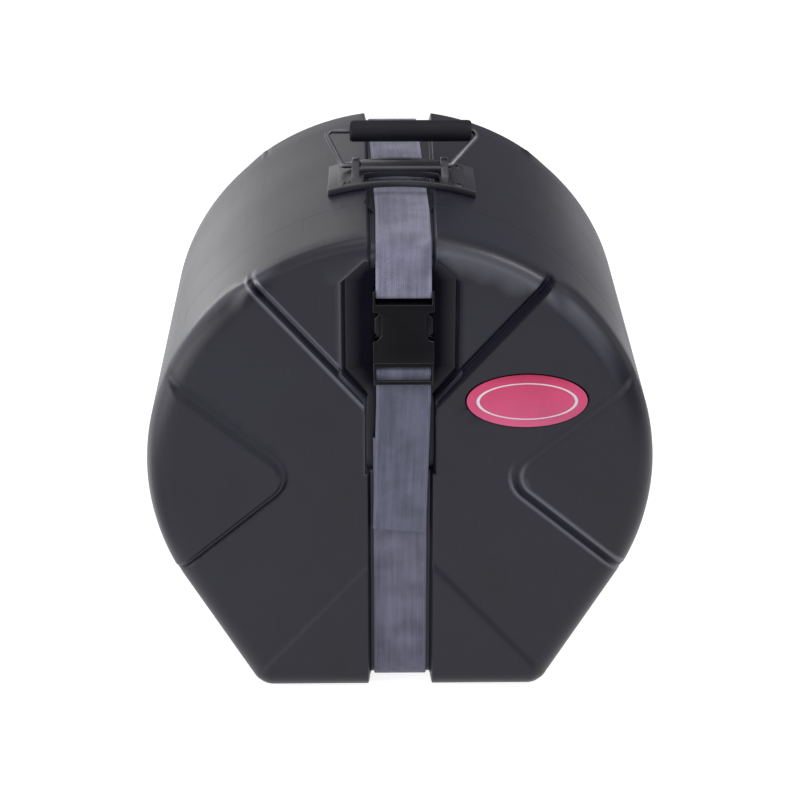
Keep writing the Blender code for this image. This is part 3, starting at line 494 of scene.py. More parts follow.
def groove_lines(side, flat_end):
    """Lines along the groove in the flattened cup, at its floor, its walls and its lips."""
    lid = side < 0
    ways, neck_insets, _ = zip(*neck_stations(side, False))
    crown_radius = crown_edge_radius if lid else rear_crown_edge_radius
    run = rim_y + half_depth if lid else half_depth - rim_y
    face_spread = float(groove_spread(side * half_depth))
    edge_steps = [*np.arange(-0.018, relief_limit, 0.002), *np.linspace(relief_limit, flat_end, 14)]
    lines = []
    for place in (-0.0012, 0.0, 0.08, 0.2, 0.35, 0.5, 0.65, 0.8, 0.92, 1.0, 1.1):
        half = groove_half_floor + (groove_half_mouth - groove_half_floor) * place + face_spread
        for hand in (-1, 1):
            face_part = [(hand * half + float(groove_middle(z)), z)
                         for z in np.arange(0.03, crown_z - 0.02, mesh_pitch)]
            crown_part = []
            foot_part = []
            for distance in edge_steps:
                turn = min(max((distance + crown_radius) / crown_radius, 0.0), math.pi / 2)
                past_inset = np.interp(max(distance - flat_rims[side], 0.0), ways, neck_insets)
                inset = crown_radius * (1.0 - math.sin(turn)) + past_inset
                along = min(max(distance / flat_rims[side], 0.0), 1.0)
                here = half + past_inset - groove_taper * along * run / (2 * half_depth) * side
                reach = shell_radius + distance
                x = (hand * here + groove_drift) * reach / (shell_radius - inset)
                crown_part.append((x, centre_height + math.sqrt(reach ** 2 - x * x)))
                foot_part.append((hand * here, -distance))
            lines.append(foot_part[::-1] + face_part + crown_part)
    return lines


pad_turn = math.pi / 2 - pad_half_angle
pad_round_x = pad_apex + pad_round / math.sin(pad_half_angle)


def pad_edge_point(turn, radius, way):
    """A point on a side pad's edge: round its apex by a turn, then out along its side."""
    x = pad_round_x - radius * math.cos(turn)
    rise = radius * math.sin(turn)
    x += way * math.cos(pad_half_angle)
    rise += math.copysign(way * math.sin(pad_half_angle), turn)
    return x, centre_height + rise


def wedge_line(hand, up, apex, half_angle, inside, first_way):
    """A line along a straight edge of the foot's or the crown's wedge, a little inside it."""
    sine, cosine = math.sin(half_angle), math.cos(half_angle)
    start = (-inside * cosine, apex + up * inside * sine)
    return [(hand * (start[0] + sine * way), centre_height + start[1] + up * cosine * way)
            for way in np.arange(first_way, 0.30, 0.006)]


def relief_lines():
    """Lines of the flattened cup along which an end's relief bends."""
    shares = (-0.15, 0.0, 0.18, 0.34, 0.5, 0.66, 0.82, 1.0, 1.15)
    ways = [step * 0.005 for step in range(41)]
    pad_lines = []
    for share in shares:
        low, high = share * pad_sharp_run, share * pad_soft_run
        line = [pad_edge_point(-pad_turn, pad_round - low, way) for way in ways[::-1]]
        for step in range(1, 20):
            place = step / 20
            blend = float(smooth(0.5 + 1.1 * (place - 0.5)))
            line.append(pad_edge_point(pad_turn * (2 * place - 1),
                                       pad_round - low - (high - low) * blend, 0.0))
        pad_lines.append(line + [pad_edge_point(pad_turn, pad_round - high, way) for way in ways])
    for inside in (0.0066, 0.0077, 0.0088, 0.0100):
        pad_lines.append([pad_edge_point(-pad_turn, pad_round - inside, way) for way in ways[::-1]])
    for share in (0.12, 0.25, 0.38, 0.5, 0.62, 0.75, 0.88, 1.0, 1.2, 1.5, 1.8):
        radius = pad_round + share * pad_gutter_width
        line = [pad_edge_point(-pad_turn, radius, way) for way in ways[:0:-1]]
        line += [pad_edge_point(pad_turn * (step / 10 - 1), radius, 0.0) for step in range(21)]
        pad_lines.append(line)
    beyonds = [line_places[0] - 0.0017, line_places[0] - 0.0008, *line_places,
               line_places[-1] + 0.0008, line_places[-1] + 0.0017]
    for first, last in zip(line_places[:-1], line_places[1:]):
        beyonds += [first + (last - first) * share for share in (0.25, 0.5, 0.75)]
    lines = []
    for hand in (-1, 1):
        lines += [[(hand * x, z) for x, z in line] for line in pad_lines]
        lines += [wedge_line(hand, -1, foot_pad_apex, foot_pad_half_angle, share * foot_pad_run,
                             0.030) for share in shares]
        lines += [wedge_line(hand, 1, crown_apex, crown_half_angle, beyond, 0.034)
                  for beyond in beyonds]
    return lines


def clipped(line, limit):
    """Keep the part of a line that lies inside a distance from the outline."""
    distance, _ = outline_distance(np.array(line))
    return [point for point, place in zip(line, distance) if place < limit]


def moulded_skin(side, inner):
    """Mesh one skin of a shell: triangles that follow every line along which it bends.

    Gives its points, its faces, and how many of the first points lie along its rim.
    """
    lid = side < 0
    flat_rim = flat_rims[side]
    stations = neck_stations(side, inner)
    samples = outline_samples()
    radius = edge_radius_at(samples[:, 2:], side)
    rings = [radius * (math.pi / 2 * step / bend_steps - 1.0) for step in range(-1, bend_steps + 1)]
    flank_rows = 5 if lid else 9
    start = radius * (math.pi / 2 - 1.0)
    rings += [start + (flat_rim - start) * step / flank_rows for step in range(1, flank_rows + 1)]
    rings += [np.full(len(samples), flat_rim + place) for place, _, _ in stations[1:]]
    points, edges = [], []

    def add(line, closed=False):
        """Take in a line that the triangles have to follow."""
        first = len(points)
        points.extend(Vector((float(x), float(z))) for x, z in line)
        edges.extend((first + i, first + i + 1) for i in range(len(line) - 1))
        if closed:
            edges.append((first + len(line) - 1, first))

    for offset in reversed(rings):
        add([(x + nx * o, z + nz * o) for (x, z, nx, nz), o in zip(samples, offset)], True)
    for line in groove_lines(side, flat_rim + stations[-1][0] - 1e-5):
        add(line)
    if not inner:
        for line in relief_lines():
            line = clipped(line, relief_limit)
            if len(line) > 1:
                add(line)
    if lid:
        growth = wall if inner else 0.0
        for share in (-0.2, 0.0, 0.15, 0.3, 0.45, 0.6, 0.75, 0.9, 1.0, 1.2):
            add([tuple(p) for p in grown(pocket_outline(), growth - share * pocket_run)], True)
    if lid and not inner:
        turns = [math.tau * step / 72 for step in range(72)]
        for edge in (-0.0006, 0.0, badge_seat_run / 2, badge_seat_run, badge_seat_run + 0.0006):
            add([(badge_centre[0] + (badge_half[0] + edge) * math.cos(turn),
                  badge_centre[1] + (badge_half[1] + edge) * math.sin(turn))
                 for turn in turns], True)
    grid = [(x, z) for x in np.arange(-0.228, 0.229, mesh_pitch)
            for z in np.arange(0.010, 0.470, mesh_pitch)]
    distance, _ = outline_distance(np.array(grid))
    points.extend(Vector(place) for place, away in zip(grid, distance) if away < -grid_clear)
    flat, _, faces, _, _, _ = delaunay_2d_cdt(points, edges, [], 0, 1e-5)
    plane = np.array([tuple(point) for point in flat])
    return skin_points(plane, side, inner), faces, len(samples)


def painted_light_share(places, side):
    """How much painted shade (above 0) or painted highlight (below 0) each place of an end gets."""
    x, rise = places[:, 0], places[:, 2] - centre_height
    beyond = wedge_distance(x, rise, crown_apex, crown_half_angle)
    inside, high = pad_distance(x, rise)

    # The two arm lines: painted shade in their creases, with painted highlights beside the left one
    # and more painted shade beside the right one.
    share = 1.9 * np.clip(1.5 * hump(beyond, 0.0, 0.0030), 0.0, 1.0)
    painted_highlight = 3.2 * hump(beyond, -0.0044, 0.0032) + 4.0 * hump(beyond, 0.0050, 0.0034)
    deep = 2.0 * (hump(beyond, -0.0038, 0.0036) + hump(beyond, 0.0042, 0.0040))
    share = share + np.where(x < 0, -painted_highlight, deep)

    # The side pads' lower edges: painted shade in the gutter on the left, and on the right painted
    # highlights on the lips with a thin line of painted shade between them.
    gutter = 1.8 * hump(inside, -0.0024, 0.0032) * (1.0 - 0.7 * high)
    slope = 1.3 * hump(inside, pad_sharp_run / 2, pad_sharp_run / 2) * (1.0 - high)
    lips = hump(inside, 0.0054, 0.0030) + 0.9 * hump(inside, -0.0060, 0.0030)
    lips = (2.9 * lips - 1.5 * hump(inside, 0.0, 0.0036)) * (1.0 - high)
    lower = np.where(x < 0, gutter + slope, -lips)
    share = np.where(np.abs(share) > np.abs(lower), share, lower)

    # The end's rounded rim: a band of painted highlight at the upper right, and a band of painted
    # shade and one of painted highlight on the left.
    edge = crown_z - centre_height - np.hypot(x, rise)
    band = smooth((x - 0.132) / 0.015)
    rim = np.minimum(1.0, (1.0 + 0.6 * band) * hump(edge, 0.0110 + 0.0010 * band, 0.0095))
    rim = rim * (half_depth - np.abs(places[:, 1]) < 0.014)
    rim = rim * smooth((x - 0.028) / 0.010) * smooth((0.215 - x) / 0.040) * (rise > 0.05)
    share = share - (2.4 - 0.8 * band) * rim * (np.abs(beyond) > 0.006)
    fillet = 0.8 * hump(edge, 0.0125, 0.0090) - 1.0 * hump(edge, 0.0030, 0.0045)
    share = share + fillet * smooth((-x - 0.105) / 0.020) * smooth((rise + 0.10) / 0.05)

    # The pocket: painted shade inside, with a painted highlight along its lip on the left and
    # painted shade along it on the right.
    if side < 0:
        pocket = inside_pocket(places[:, (0, 2)], 0.0)
        share = np.where(pocket > -0.001, 0.0, share)
        share = share + np.where(x < 0, -1.2, 1.3) * hump(pocket, 0.0010, 0.0030)
        share = share + 2.1 * smooth((pocket - 0.001) / 0.016)
    return np.where(side * places[:, 1] > 0.17, share, 0.0)


def skinned(form, rings, capped=False):
    """Put faces between each ring of points and the next, and give them ring by ring."""
    bands = []
    for ring_a, ring_b in zip(rings[:-1], rings[1:]):
        turned_on = ring_a[1:] + ring_a[:1], ring_b[1:] + ring_b[:1]
        bands.append([form.faces.new(corners) for corners in zip(ring_a, *turned_on, ring_b)])
    if capped:
        form.faces.new(rings[0])
        form.faces.new(rings[-1])
    return bands


def finished(form, name):
    """Turn a form's faces outwards and keep it as a mesh."""
    bmesh.ops.recalc_face_normals(form, faces=form.faces)
    mesh = bpy.data.meshes.new(name)
    form.to_mesh(mesh)
    form.free()
    return mesh


def shell_mesh(name, side):
    """Join a shell's outer and inner skins at its rim into one closed mesh."""
    form = bmesh.new()
    painted_shade_and_highlight = form.verts.layers.float.new("painted_shade_and_highlight")
    rims = []
    for inner in (False, True):
        skin, faces, rim_count = moulded_skin(side, inner)
        points = [form.verts.new(point) for point in skin]
        for face in faces:
            form.faces.new([points[index] for index in face])
        # Each outer point keeps its share of painted shade and painted highlight.
        if not inner:
            for point, share in zip(points, painted_light_share(skin, side)):
                point[painted_shade_and_highlight] = float(share)
        rims.append(points[:rim_count])
    skinned(form, rims)
    return finished(form, name)


def add_piece(name, mesh, body, look, sharp=40.0):
    """Put a piece in the scene, smooth but for its sharp edges, with its material and on its body.
    """
    piece = placed(name, mesh)
    mesh.materials.append(look)
    mesh.shade_smooth()
    mesh.set_sharp_from_angle(angle=math.radians(sharp))
    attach(piece, body)
    return piece


def new_material(name, colour, roughness, metallic=0.0, **inputs):
    """Start a Principled material; returns it with its tree and shader."""
    made = bpy.data.materials.new(name)
    made.use_nodes = True
    shader = feed(made.node_tree, made.node_tree.nodes["Principled BSDF"], Base_Color=colour,
                  Roughness=roughness, Metallic=metallic, **inputs)
    return made, made.node_tree, shader


def graded(tree, value, factor, start):
    """A value times a factor, counted from a start."""
    return math_node(tree, "ADD", math_node(tree, "MULTIPLY", value, factor), start)


def kept_within(tree, value, low, high):
    """Keep a value between two limits."""
    return math_node(tree, "MINIMUM", math_node(tree, "MAXIMUM", value, low), high)


def new_group(name, inputs, outputs):
    """Start a node group with named inputs: numbers, or a vector where no number is given."""
    group = bpy.data.node_groups.new(name, "ShaderNodeTree")
    for label, value in inputs.items():
        kind = "NodeSocketVector" if value is None else "NodeSocketFloat"
        socket = group.interface.new_socket(name=label, in_out="INPUT", socket_type=kind)
        if value is not None:
            socket.default_value = value
    for label in outputs:
        group.interface.new_socket(name=label, in_out="OUTPUT", socket_type="NodeSocketFloat")
    entry = group.nodes.new("NodeGroupInput")
    return group, entry.outputs, group.nodes.new("NodeGroupOutput")


def use_group(tree, group, **inputs):
    """Place a node group in a material, with its inputs filled by name."""
    node = tree.nodes.new("ShaderNodeGroup")
    node.node_tree = group
    return feed(tree, node, **inputs).outputs


def colour_ramp(tree, value, *stops):
    """Turn a value into a colour by a ramp of (place, colour) stops."""
    ramp = new_node(tree, "ValToRGB", Fac=value)
    elements = ramp.color_ramp.elements
    elements[0].position, elements[-1].position = stops[0][0], stops[-1][0]
    elements[0].color, elements[-1].color = (*stops[0][1], 1.0), (*stops[-1][1], 1.0)
    for place, colour in stops[1:-1]:
        elements.new(place).color = (*colour, 1.0)
    return ramp.outputs["Color"]


def mixed(tree, factor, first, second, blend="MIX"):
    """Mix two colours; each is a plain colour or a socket."""
    node = tree.nodes.new("ShaderNodeMix")
    node.data_type = "RGBA"
    node.blend_type = blend
    fill(tree, zip((node.inputs[index] for index in (0, 6, 7)), (factor, first, second)))
    return node.outputs[2]


def bumped(tree, shader, height, distance, strength=1.0):
    """Drive a shader's normal from a height."""
    bump = new_node(tree, "Bump", Distance=distance, Strength=strength, Height=height)
    feed(tree, shader, Normal=bump.outputs[0])


speckle, entry, leave = new_group("moulded_grain", {"Size": 900.0, "Blotch Size": 14.0},
                                  ("Height", "Blotch", "Scuff"))
place = new_node(speckle, "TexCoord").outputs["Object"]
grain = new_node(speckle, "TexNoise", Vector=place, Scale=entry["Size"], Detail=2.0)
blotch = new_node(speckle, "TexNoise", Vector=place, Scale=entry["Blotch Size"], Detail=4.0)
turned = new_node(speckle, "Mapping", Vector=place, Rotation=(0.4, 0.7, 0.3),
                  Scale=(260.0, 9.0, 40.0))
scratch = new_node(speckle, "TexNoise", Vector=turned.outputs[0], Scale=1.0, Detail=2.0)
thin = math_node(speckle, "SUBTRACT", scratch.outputs["Fac"], 0.66)
thin = kept_within(speckle, math_node(speckle, "MULTIPLY", thin, 7.0), 0.0, 1.0)
feed(speckle, leave, Height=grain.outputs["Fac"], Blotch=blotch.outputs["Fac"], Scuff=thin)


def moulded_look(name, dark, light, roughness, spread, grain_size, grain_depth, scuff=0.0,
                 gloss=0.5):
    """Make a moulded plastic or rubber with a fine grain, faint blotches and light scuffs."""
    made, tree, shader = new_material(name, light, roughness, Specular_IOR_Level=gloss)
    marks = use_group(tree, speckle, Size=grain_size, Blotch_Size=11.0)
    base = colour_ramp(tree, marks["Blotch"], (0.35, dark), (0.65, light))
    if scuff:
        pale = tuple(part + scuff for part in light)
        base = mixed(tree, math_node(tree, "MULTIPLY", marks["Scuff"], 0.5), base, pale)
    rough = math_node(tree, "SUBTRACT", marks["Blotch"], 0.5)
    rough = graded(tree, rough, spread, roughness)
    scuffed = math_node(tree, "MULTIPLY", marks["Scuff"], 0.08)
    feed(tree, shader, Base_Color=base, Roughness=math_node(tree, "ADD", rough, scuffed))
    bumped(tree, shader, marks["Height"], grain_depth, 0.6)
    return made


shell_gloss = 0.34
shell_look = moulded_look("moulded_polyethylene", (0.0063, 0.0058, 0.0122),
                          (0.0102, 0.0094, 0.0182), roughness=0.38, spread=0.16,
                          grain_size=620.0, grain_depth=0.00022, scuff=0.010, gloss=shell_gloss)
tree = shell_look.node_tree
shader = tree.nodes["Principled BSDF"]
# Painted light on the ends: where the share is below 0 the colour is mixed towards a pale grey and
# the gloss is raised, as painted highlight; where it is above 0 the gloss is lowered, as painted
# shade.
mask = new_node(tree, "Attribute")
mask.attribute_name = "painted_shade_and_highlight"
painted_highlight = math_node(tree, "MULTIPLY", mask.outputs["Fac"], -0.30)
unlit = math_node(tree, "MULTIPLY", mask.outputs["Fac"], 0.15)
colour_before_painted_light = shader.inputs["Base Color"].links[0].from_socket
feed(tree, shader, Base_Color=mixed(tree, painted_highlight, colour_before_painted_light, (0.105, 0.103, 0.130)),
     Specular_IOR_Level=math_node(tree, "SUBTRACT", shell_gloss, unlit))
body_skin = add_piece("body_skin", shell_mesh("body_skin", 1), "body", shell_look)
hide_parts("body_shell")
lid_skin = add_piece("lid_skin", shell_mesh("lid_skin", -1), "lid", shell_look)
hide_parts("lid_shell")

# Strap. Two-inch polypropylene webbing, one loop cut at the lid's rim in this model: the run round
# the body, the upper run over the lid to the buckle, the lower run under the lid, and the tail.
strap_width = 0.0508
strap_thickness = 0.002
upper_shift = 0.003
clearance = 0.0003
strap_middle = groove_depth - clearance - strap_thickness / 2
strap_bend = crown_groove_corner - strap_middle
strap_top_z = crown_z - strap_middle
strap_face_y = -half_depth + strap_middle
selvedge = 0.0009


def rounded_line(corners, radii, steps):
    """Round the inner corners of an open line."""
    line = [Vector(corners[0])]
    for index in range(1, len(corners) - 1):
        corner = Vector(corners[index])
        back = (Vector(corners[index - 1]) - corner).normalized()
        ahead = (Vector(corners[index + 1]) - corner).normalized()
        half = math.acos(max(-1.0, min(1.0, back.dot(ahead)))) / 2
        radius = radii[index - 1]
        centre = corner + (back + ahead).normalized() * radius / math.sin(half)
        first = (corner + back * radius / math.tan(half) - centre).normalized()
        last = (corner + ahead * radius / math.tan(half) - centre).normalized()
        for step in range(steps + 1):
            spoke = first.lerp(last, step / steps).normalized() * radius
            line.append(centre + spoke)
    line.append(Vector(corners[-1]))
    return line


def evened(line, pitch):
    """Add points to a line so that none lie further apart than a pitch."""
    full = [line[0]]
    for first, last in zip(line[:-1], line[1:]):
        count = max(1, math.ceil((last - first).length / pitch))
        full += [first.lerp(last, step / count) for step in range(1, count + 1)]
    return full


def webbing_mesh(name, path, drift, slant=0.0):
    """Make a flat woven band along a (y, z) path, with a UV map in metres across and along.

    The drift lists where its middle lies, as (share of the way, x) pairs. The slant is how much
    further the right edge runs than the left one at the band's cut end.
    """
    path = evened(path, 0.006)
    runs = [0.0]
    for first, last in zip(path[:-1], path[1:]):
        runs.append(runs[-1] + (last - first).length)
    half, thick = strap_width / 2, strap_thickness / 2
    across = [-half, -half + selvedge, *np.linspace(-half + 0.004, half - 0.004, 9),
              half - selvedge, half]
    section = [(x, thick if abs(x) < half - selvedge / 2 else thick * 0.35) for x in across]
    section += [(x, -edge) for x, edge in reversed(section)]
    form = bmesh.new()
    layer = form.loops.layers.uv.new("strap")
    rings = []
    for index, point in enumerate(path):
        before, after = path[max(index - 1, 0)], path[min(index + 1, len(path) - 1)]
        ahead = (after - before).normalized()
        out = Vector((ahead.y, -ahead.x))
        centre_x = float(np.interp(runs[index] / runs[-1], *zip(*drift)))
        cut = slant * min(max((runs[index] - runs[-1] + 0.03) / 0.03, 0.0), 1.0) ** 2
        rings.append([form.verts.new((centre_x + x,
                                      point.x + out.x * up + ahead.x * cut * x / strap_width,
                                      point.y + out.y * up + ahead.y * cut * x / strap_width))
                      for x, up in section])
    for index, band in enumerate(skinned(form, rings)):
        ways = (runs[index], runs[index], runs[index + 1], runs[index + 1])
        for side, face in enumerate(band):
            here, there = section[side][0], section[(side + 1) % len(section)][0]
            for corner, u, v in zip(face.loops, (here, there, there, here), ways):
                corner[layer].uv = (u, v)
    for ring, way in ((rings[0], 0.0), (rings[-1], runs[-1])):
        face = form.faces.new(ring)
        for corner, (x, _) in zip(face.loops, section):
            corner[layer].uv = (x, way)
    return finished(form, name)


weave, entry, leave = new_group(
    "woven_ribs", {"Vector": None, "Rib Pitch": 0.0016, "Pick Pitch": 0.0021}, ("Height", "Shade"))
place = new_node(weave, "SeparateXYZ", entry["Vector"]).outputs
rib = math_node(weave, "DIVIDE", place["X"], entry["Rib Pitch"])
pick = math_node(weave, "DIVIDE", place["Y"], entry["Pick Pitch"])
parity = math_node(weave, "FLOORED_MODULO", math_node(weave, "FLOOR", rib), 2.0)
parity = math_node(weave, "MULTIPLY", parity, 0.5)
turn = math_node(weave, "MULTIPLY", math_node(weave, "ADD", pick, parity), math.tau)
over = graded(weave, math_node(weave, "SINE", turn), 0.5, 0.5)
round_rib = math_node(weave, "SINE", math_node(weave, "MULTIPLY", rib, math.pi))
height = math_node(weave, "MULTIPLY", math_node(weave, "ABSOLUTE", round_rib),
                   graded(weave, over, 0.6, 0.4))
# Shade: the yarn is painted darker where the ribs are low, as painted shade in the weave's hollows.
feed(weave, leave, Height=height, Shade=graded(weave, height, 0.30, 0.80))

streaks, entry, leave = new_group(
    "lengthwise_streaks", {"Vector": None, "Fine": 260.0, "Long": 9.0}, ("Shade",))
place = new_node(streaks, "SeparateXYZ", entry["Vector"]).outputs
drawn_out = new_node(streaks, "CombineXYZ",
                     math_node(streaks, "MULTIPLY", place["X"], entry["Fine"]),
                     math_node(streaks, "MULTIPLY", place["Y"], entry["Long"]))
noise = new_node(streaks, "TexNoise", Vector=drawn_out.outputs[0], Scale=1.0, Detail=3.0)
feed(streaks, leave, Shade=noise.outputs["Fac"])


def webbing_look(name, dark, light, seed):
    """Make the woven polypropylene's material from a dark and a light shade of its yarn."""
    made, tree, shader = new_material(name, light, 0.62, Sheen_Weight=0.25, Sheen_Roughness=0.45)
    strap_map = new_node(tree, "UVMap")
    strap_map.uv_map = "strap"
    place = strap_map.outputs[0]
    ribs = use_group(tree, weave, Vector=place)
    lines = use_group(tree, streaks, Vector=place, Fine=240.0, Long=11.0)
    shift = new_node(tree, "Mapping", Vector=place, Location=(seed, seed, 0.0),
                     Scale=(34.0, 34.0, 34.0))
    patch = new_node(tree, "TexNoise", Vector=shift.outputs[0], Scale=1.0, Detail=4.0)
    patch = patch.outputs["Fac"]
    base = colour_ramp(tree, lines["Shade"], (0.30, dark), (0.68, light))
    base = mixed(tree, math_node(tree, "MULTIPLY", patch, 0.6), base, light)
    cloud = colour_ramp(tree, patch, (0.38, (0.74, 0.74, 0.76)), (0.62, (1.12, 1.12, 1.12)))
    base = mixed(tree, 1.0, base, cloud, "MULTIPLY")
    across = math_node(tree, "ABSOLUTE", new_node(tree, "SeparateXYZ", place).outputs["X"])
    edge = math_node(tree, "SUBTRACT", across, strap_width / 2 - 0.0035)
    edge = kept_within(tree, math_node(tree, "MULTIPLY", edge, 380.0), 0.0, 0.55)
    base = mixed(tree, edge, base, tuple(min(1.0, part * 1.5) for part in light))
    # Painted shade in the weave's hollows, from the ribs' Shade.
    shaded = new_node(tree, "CombineColor", *[ribs["Shade"]] * 3)
    feed(tree, shader, Base_Color=mixed(tree, 1.0, base, shaded.outputs[0], "MULTIPLY"))
    bumped(tree, shader, ribs["Height"], 0.0004, 0.7)
    return made


# One webbing in three tones: the lower run and the tail are painted darker than the upper run, as
# painted shade.
upper_webbing = webbing_look("upper_webbing", (0.132, 0.128, 0.182), (0.268, 0.260, 0.352), 3.0)
tail_webbing = webbing_look("tail_webbing", (0.078, 0.081, 0.122), (0.145, 0.149, 0.215), 11.0)
lower_webbing = webbing_look("lower_webbing", (0.108, 0.104, 0.155), (0.196, 0.190, 0.266), 7.0)

# Where the webbing goes round the buckle's bars, and where it ends.
buckle_front = -0.192
buckle_thickness = 0.013
buckle_mid = buckle_front + buckle_thickness / 2
bar_radius = 0.0025
wrap = bar_radius + clearance + strap_thickness / 2
housing_bar_z = 0.4205
housing_mouth = centre_height + 0.1174
insert_top = housing_mouth - clearance
insert_bar_z = insert_top - 0.0107
insert_base = insert_top - 0.0237
layer_gap = strap_thickness + clearance
tail_end_z = centre_height - 0.060
release_travel = 0.052
lower_top_z = insert_base - release_travel - 0.004


def round_bar(bar_z, start):
    """Half a turn of webbing round a buckle's bar, from a start counted in half turns."""
    turns = [math.pi * (start + step / 14) for step in range(15)]
    return [Vector((buckle_mid + wrap * math.cos(turn), bar_z + wrap * math.sin(turn)))
            for turn in turns]


def strap_run(name, path, drift, body, look, slant=0.0):
    """Put one run of webbing on its body."""
    return add_piece(name, webbing_mesh(name, path, drift, slant), body, look)


body_path = rounded_line([(rim_y + clearance, strap_top_z), (-strap_face_y, strap_top_z),
                          (-strap_face_y, strap_middle), (rim_y + clearance, strap_middle)],
                         [rear_groove_corner - strap_middle] * 2, 12)
strap_body = strap_run("strap_body_webbing", body_path, [(0.0, upper_shift), (0.29, -0.0047),
                                                         (0.75, 0.0), (1.0, 0.0)],
                       "body", upper_webbing)
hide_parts("strap_body_run")

upper_path = rounded_line([(rim_y, strap_top_z), (strap_face_y, strap_top_z),
                           (strap_face_y, housing_bar_z + 0.027)], [strap_bend], 12)
upper_path += [Vector((buckle_mid - wrap, housing_bar_z + 0.007)), *round_bar(housing_bar_z, 1),
               Vector((buckle_mid + wrap, housing_bar_z + 0.007)),
               Vector((strap_face_y + layer_gap, housing_bar_z + 0.020))]
strap_upper = strap_run("strap_upper_webbing", upper_path, [(0.0, upper_shift)], "lid",
                        upper_webbing)
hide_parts("strap_upper_run")

lower_path = rounded_line([(rim_y, strap_middle), (strap_face_y, strap_middle),
                           (strap_face_y, lower_top_z)], [foot_groove_corner - strap_middle], 12)
strap_lower = strap_run("strap_lower_webbing", lower_path, [(0.0, -0.0002)], "lid", lower_webbing)
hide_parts("strap_lower_run")

tail_y = strap_face_y - layer_gap
tail_path = [Vector((strap_face_y, insert_base - 0.002)), Vector((strap_face_y, insert_base)),
             Vector((buckle_mid + wrap, insert_bar_z - wrap / 2)), *round_bar(insert_bar_z, 0),
             Vector((buckle_mid - wrap, insert_bar_z - wrap / 4)),
             Vector((tail_y, insert_base + 0.008)), Vector((tail_y, tail_end_z))]
strap_tail = strap_run("strap_tail_webbing", tail_path,
                       [(0.0, upper_shift), (0.3, upper_shift), (1.0, -0.0008)], "insert",
                       tail_webbing, 0.0050)
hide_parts("strap_tail")

# Buckle. A side-release buckle in black acetal: the female half is a flat socket with a notch at
# each side and a bar for the upper strap, and the male half carries two sprung prongs and a bar.
buckle_x = upper_shift
buckle_half = 0.0280
buckle_back = buckle_front + buckle_thickness
buckle_rail = 0.0020
buckle_gloss = 0.07
socket_half = 0.0268
bar_half = 0.027
housing_top = housing_mouth + 0.057
housing_ears = 0.0135
notch_low = housing_mouth + 0.022
notch_high = housing_mouth + 0.0495
notch_depth = 0.0078
buckle_soft = 0.0009
right_through = (-0.3, -0.1)


def prism(name, outline, low, high, axis="y"):
    """Make a closed solid from an outline, drawn out along one axis."""
    form = bmesh.new()
    at = "xyz".index(axis)
    ends = [[form.verts.new((*point[:at], place, *point[at:])) for point in outline]
            for place in (low, high)]
    form.faces.new(ends[0])
    form.faces.new(ends[1][::-1])
    for index in range(len(outline)):
        other = (index + 1) % len(outline)
        form.faces.new((ends[0][index], ends[1][index], ends[1][other], ends[0][other]))
    return finished(form, name)


def block(name, low, high):
    """Make a plain block, for joining to or cutting from a shaped solid."""
    return prism(name, [(low[0], low[2]), (high[0], low[2]), (high[0], high[2]),
                        (low[0], high[2])], low[1], high[1])


def buckle_block(name, half, front_back, low_high):
    """Make a block across the buckle's middle."""
    return block(name, *((buckle_x + hand * half, y, z)
                         for hand, y, z in zip((-1, 1), front_back, low_high)))


def tube(name, line, radius):
    """Sweep a circle along a line of points, and close its ends."""
    sides = 20
    form = bmesh.new()
    rings = []
    up = (line[1] - line[0]).normalized().orthogonal().normalized()
    for index, point in enumerate(line):
        before, after = line[max(index - 1, 0)], line[min(index + 1, len(line) - 1)]
        ahead = (after - before).normalized()
        up = (up - ahead * up.dot(ahead)).normalized()
        across = ahead.cross(up)
        rings.append([])
        for side in range(sides):
            turn = math.tau * side / sides
            spoke = up * math.cos(turn) + across * math.sin(turn)
            rings[-1].append(form.verts.new(point + spoke * radius))
    skinned(form, rings, True)
    return finished(form, name)


def buckle_bar(name, z):
    """Make one of the buckle's round bars for the webbing."""
    return tube(name, [Vector((buckle_x + hand * bar_half, buckle_mid, z)) for hand in (-1, 1)],
                bar_radius)


def carved(name, base, joins=(), cutters=(), soft=0.0, steps=2, angle=35.0):
    """Join and cut solids, soften their edges, and keep the result as one mesh."""
    made = placed(name, base)
    tools = []
    for operation, solids in (("UNION", joins), ("DIFFERENCE", cutters)):
        for solid in solids:
            tools.append(placed(name + "_tool", solid))
            step = made.modifiers.new(operation.lower(), "BOOLEAN")
            step.operation = operation
            step.object = tools[-1]
            step.solver = "EXACT"
    if soft:
        edge = made.modifiers.new("soft_edges", "BEVEL")
        edge.width = soft
        edge.segments = steps
        edge.limit_method = "ANGLE"
        edge.angle_limit = math.radians(angle)
    graph = bpy.context.evaluated_depsgraph_get()
    mesh = bpy.data.meshes.new_from_object(made.evaluated_get(graph))
    for thing in tools + [made]:
        bpy.data.objects.remove(thing)
    mesh.name = name
    return mesh


buckle_look = moulded_look("black_acetal", (0.004, 0.004, 0.005), (0.006, 0.006, 0.007),
                           roughness=0.34, spread=0.10, grain_size=1500.0, grain_depth=0.00008,
                           gloss=buckle_gloss)
tree = buckle_look.node_tree
# Painted highlight: the gloss is raised on the bevels, whose faces turn partway from the front and
# back, for light lines along the buckle's edges.
normal = new_node(tree, "TexCoord").outputs["Normal"]
flat = math_node(tree, "ABSOLUTE", new_node(tree, "SeparateXYZ", normal).outputs["Y"])
painted_highlight = math_node(tree, "MULTIPLY", math_node(tree, "SUBTRACT", 1.0, flat), flat)
painted_highlight = math_node(tree, "MINIMUM", math_node(tree, "MULTIPLY", painted_highlight, 4.0), 1.0)
feed(tree, tree.nodes["Principled BSDF"],
     Specular_IOR_Level=graded(tree, painted_highlight, 0.55, buckle_gloss))

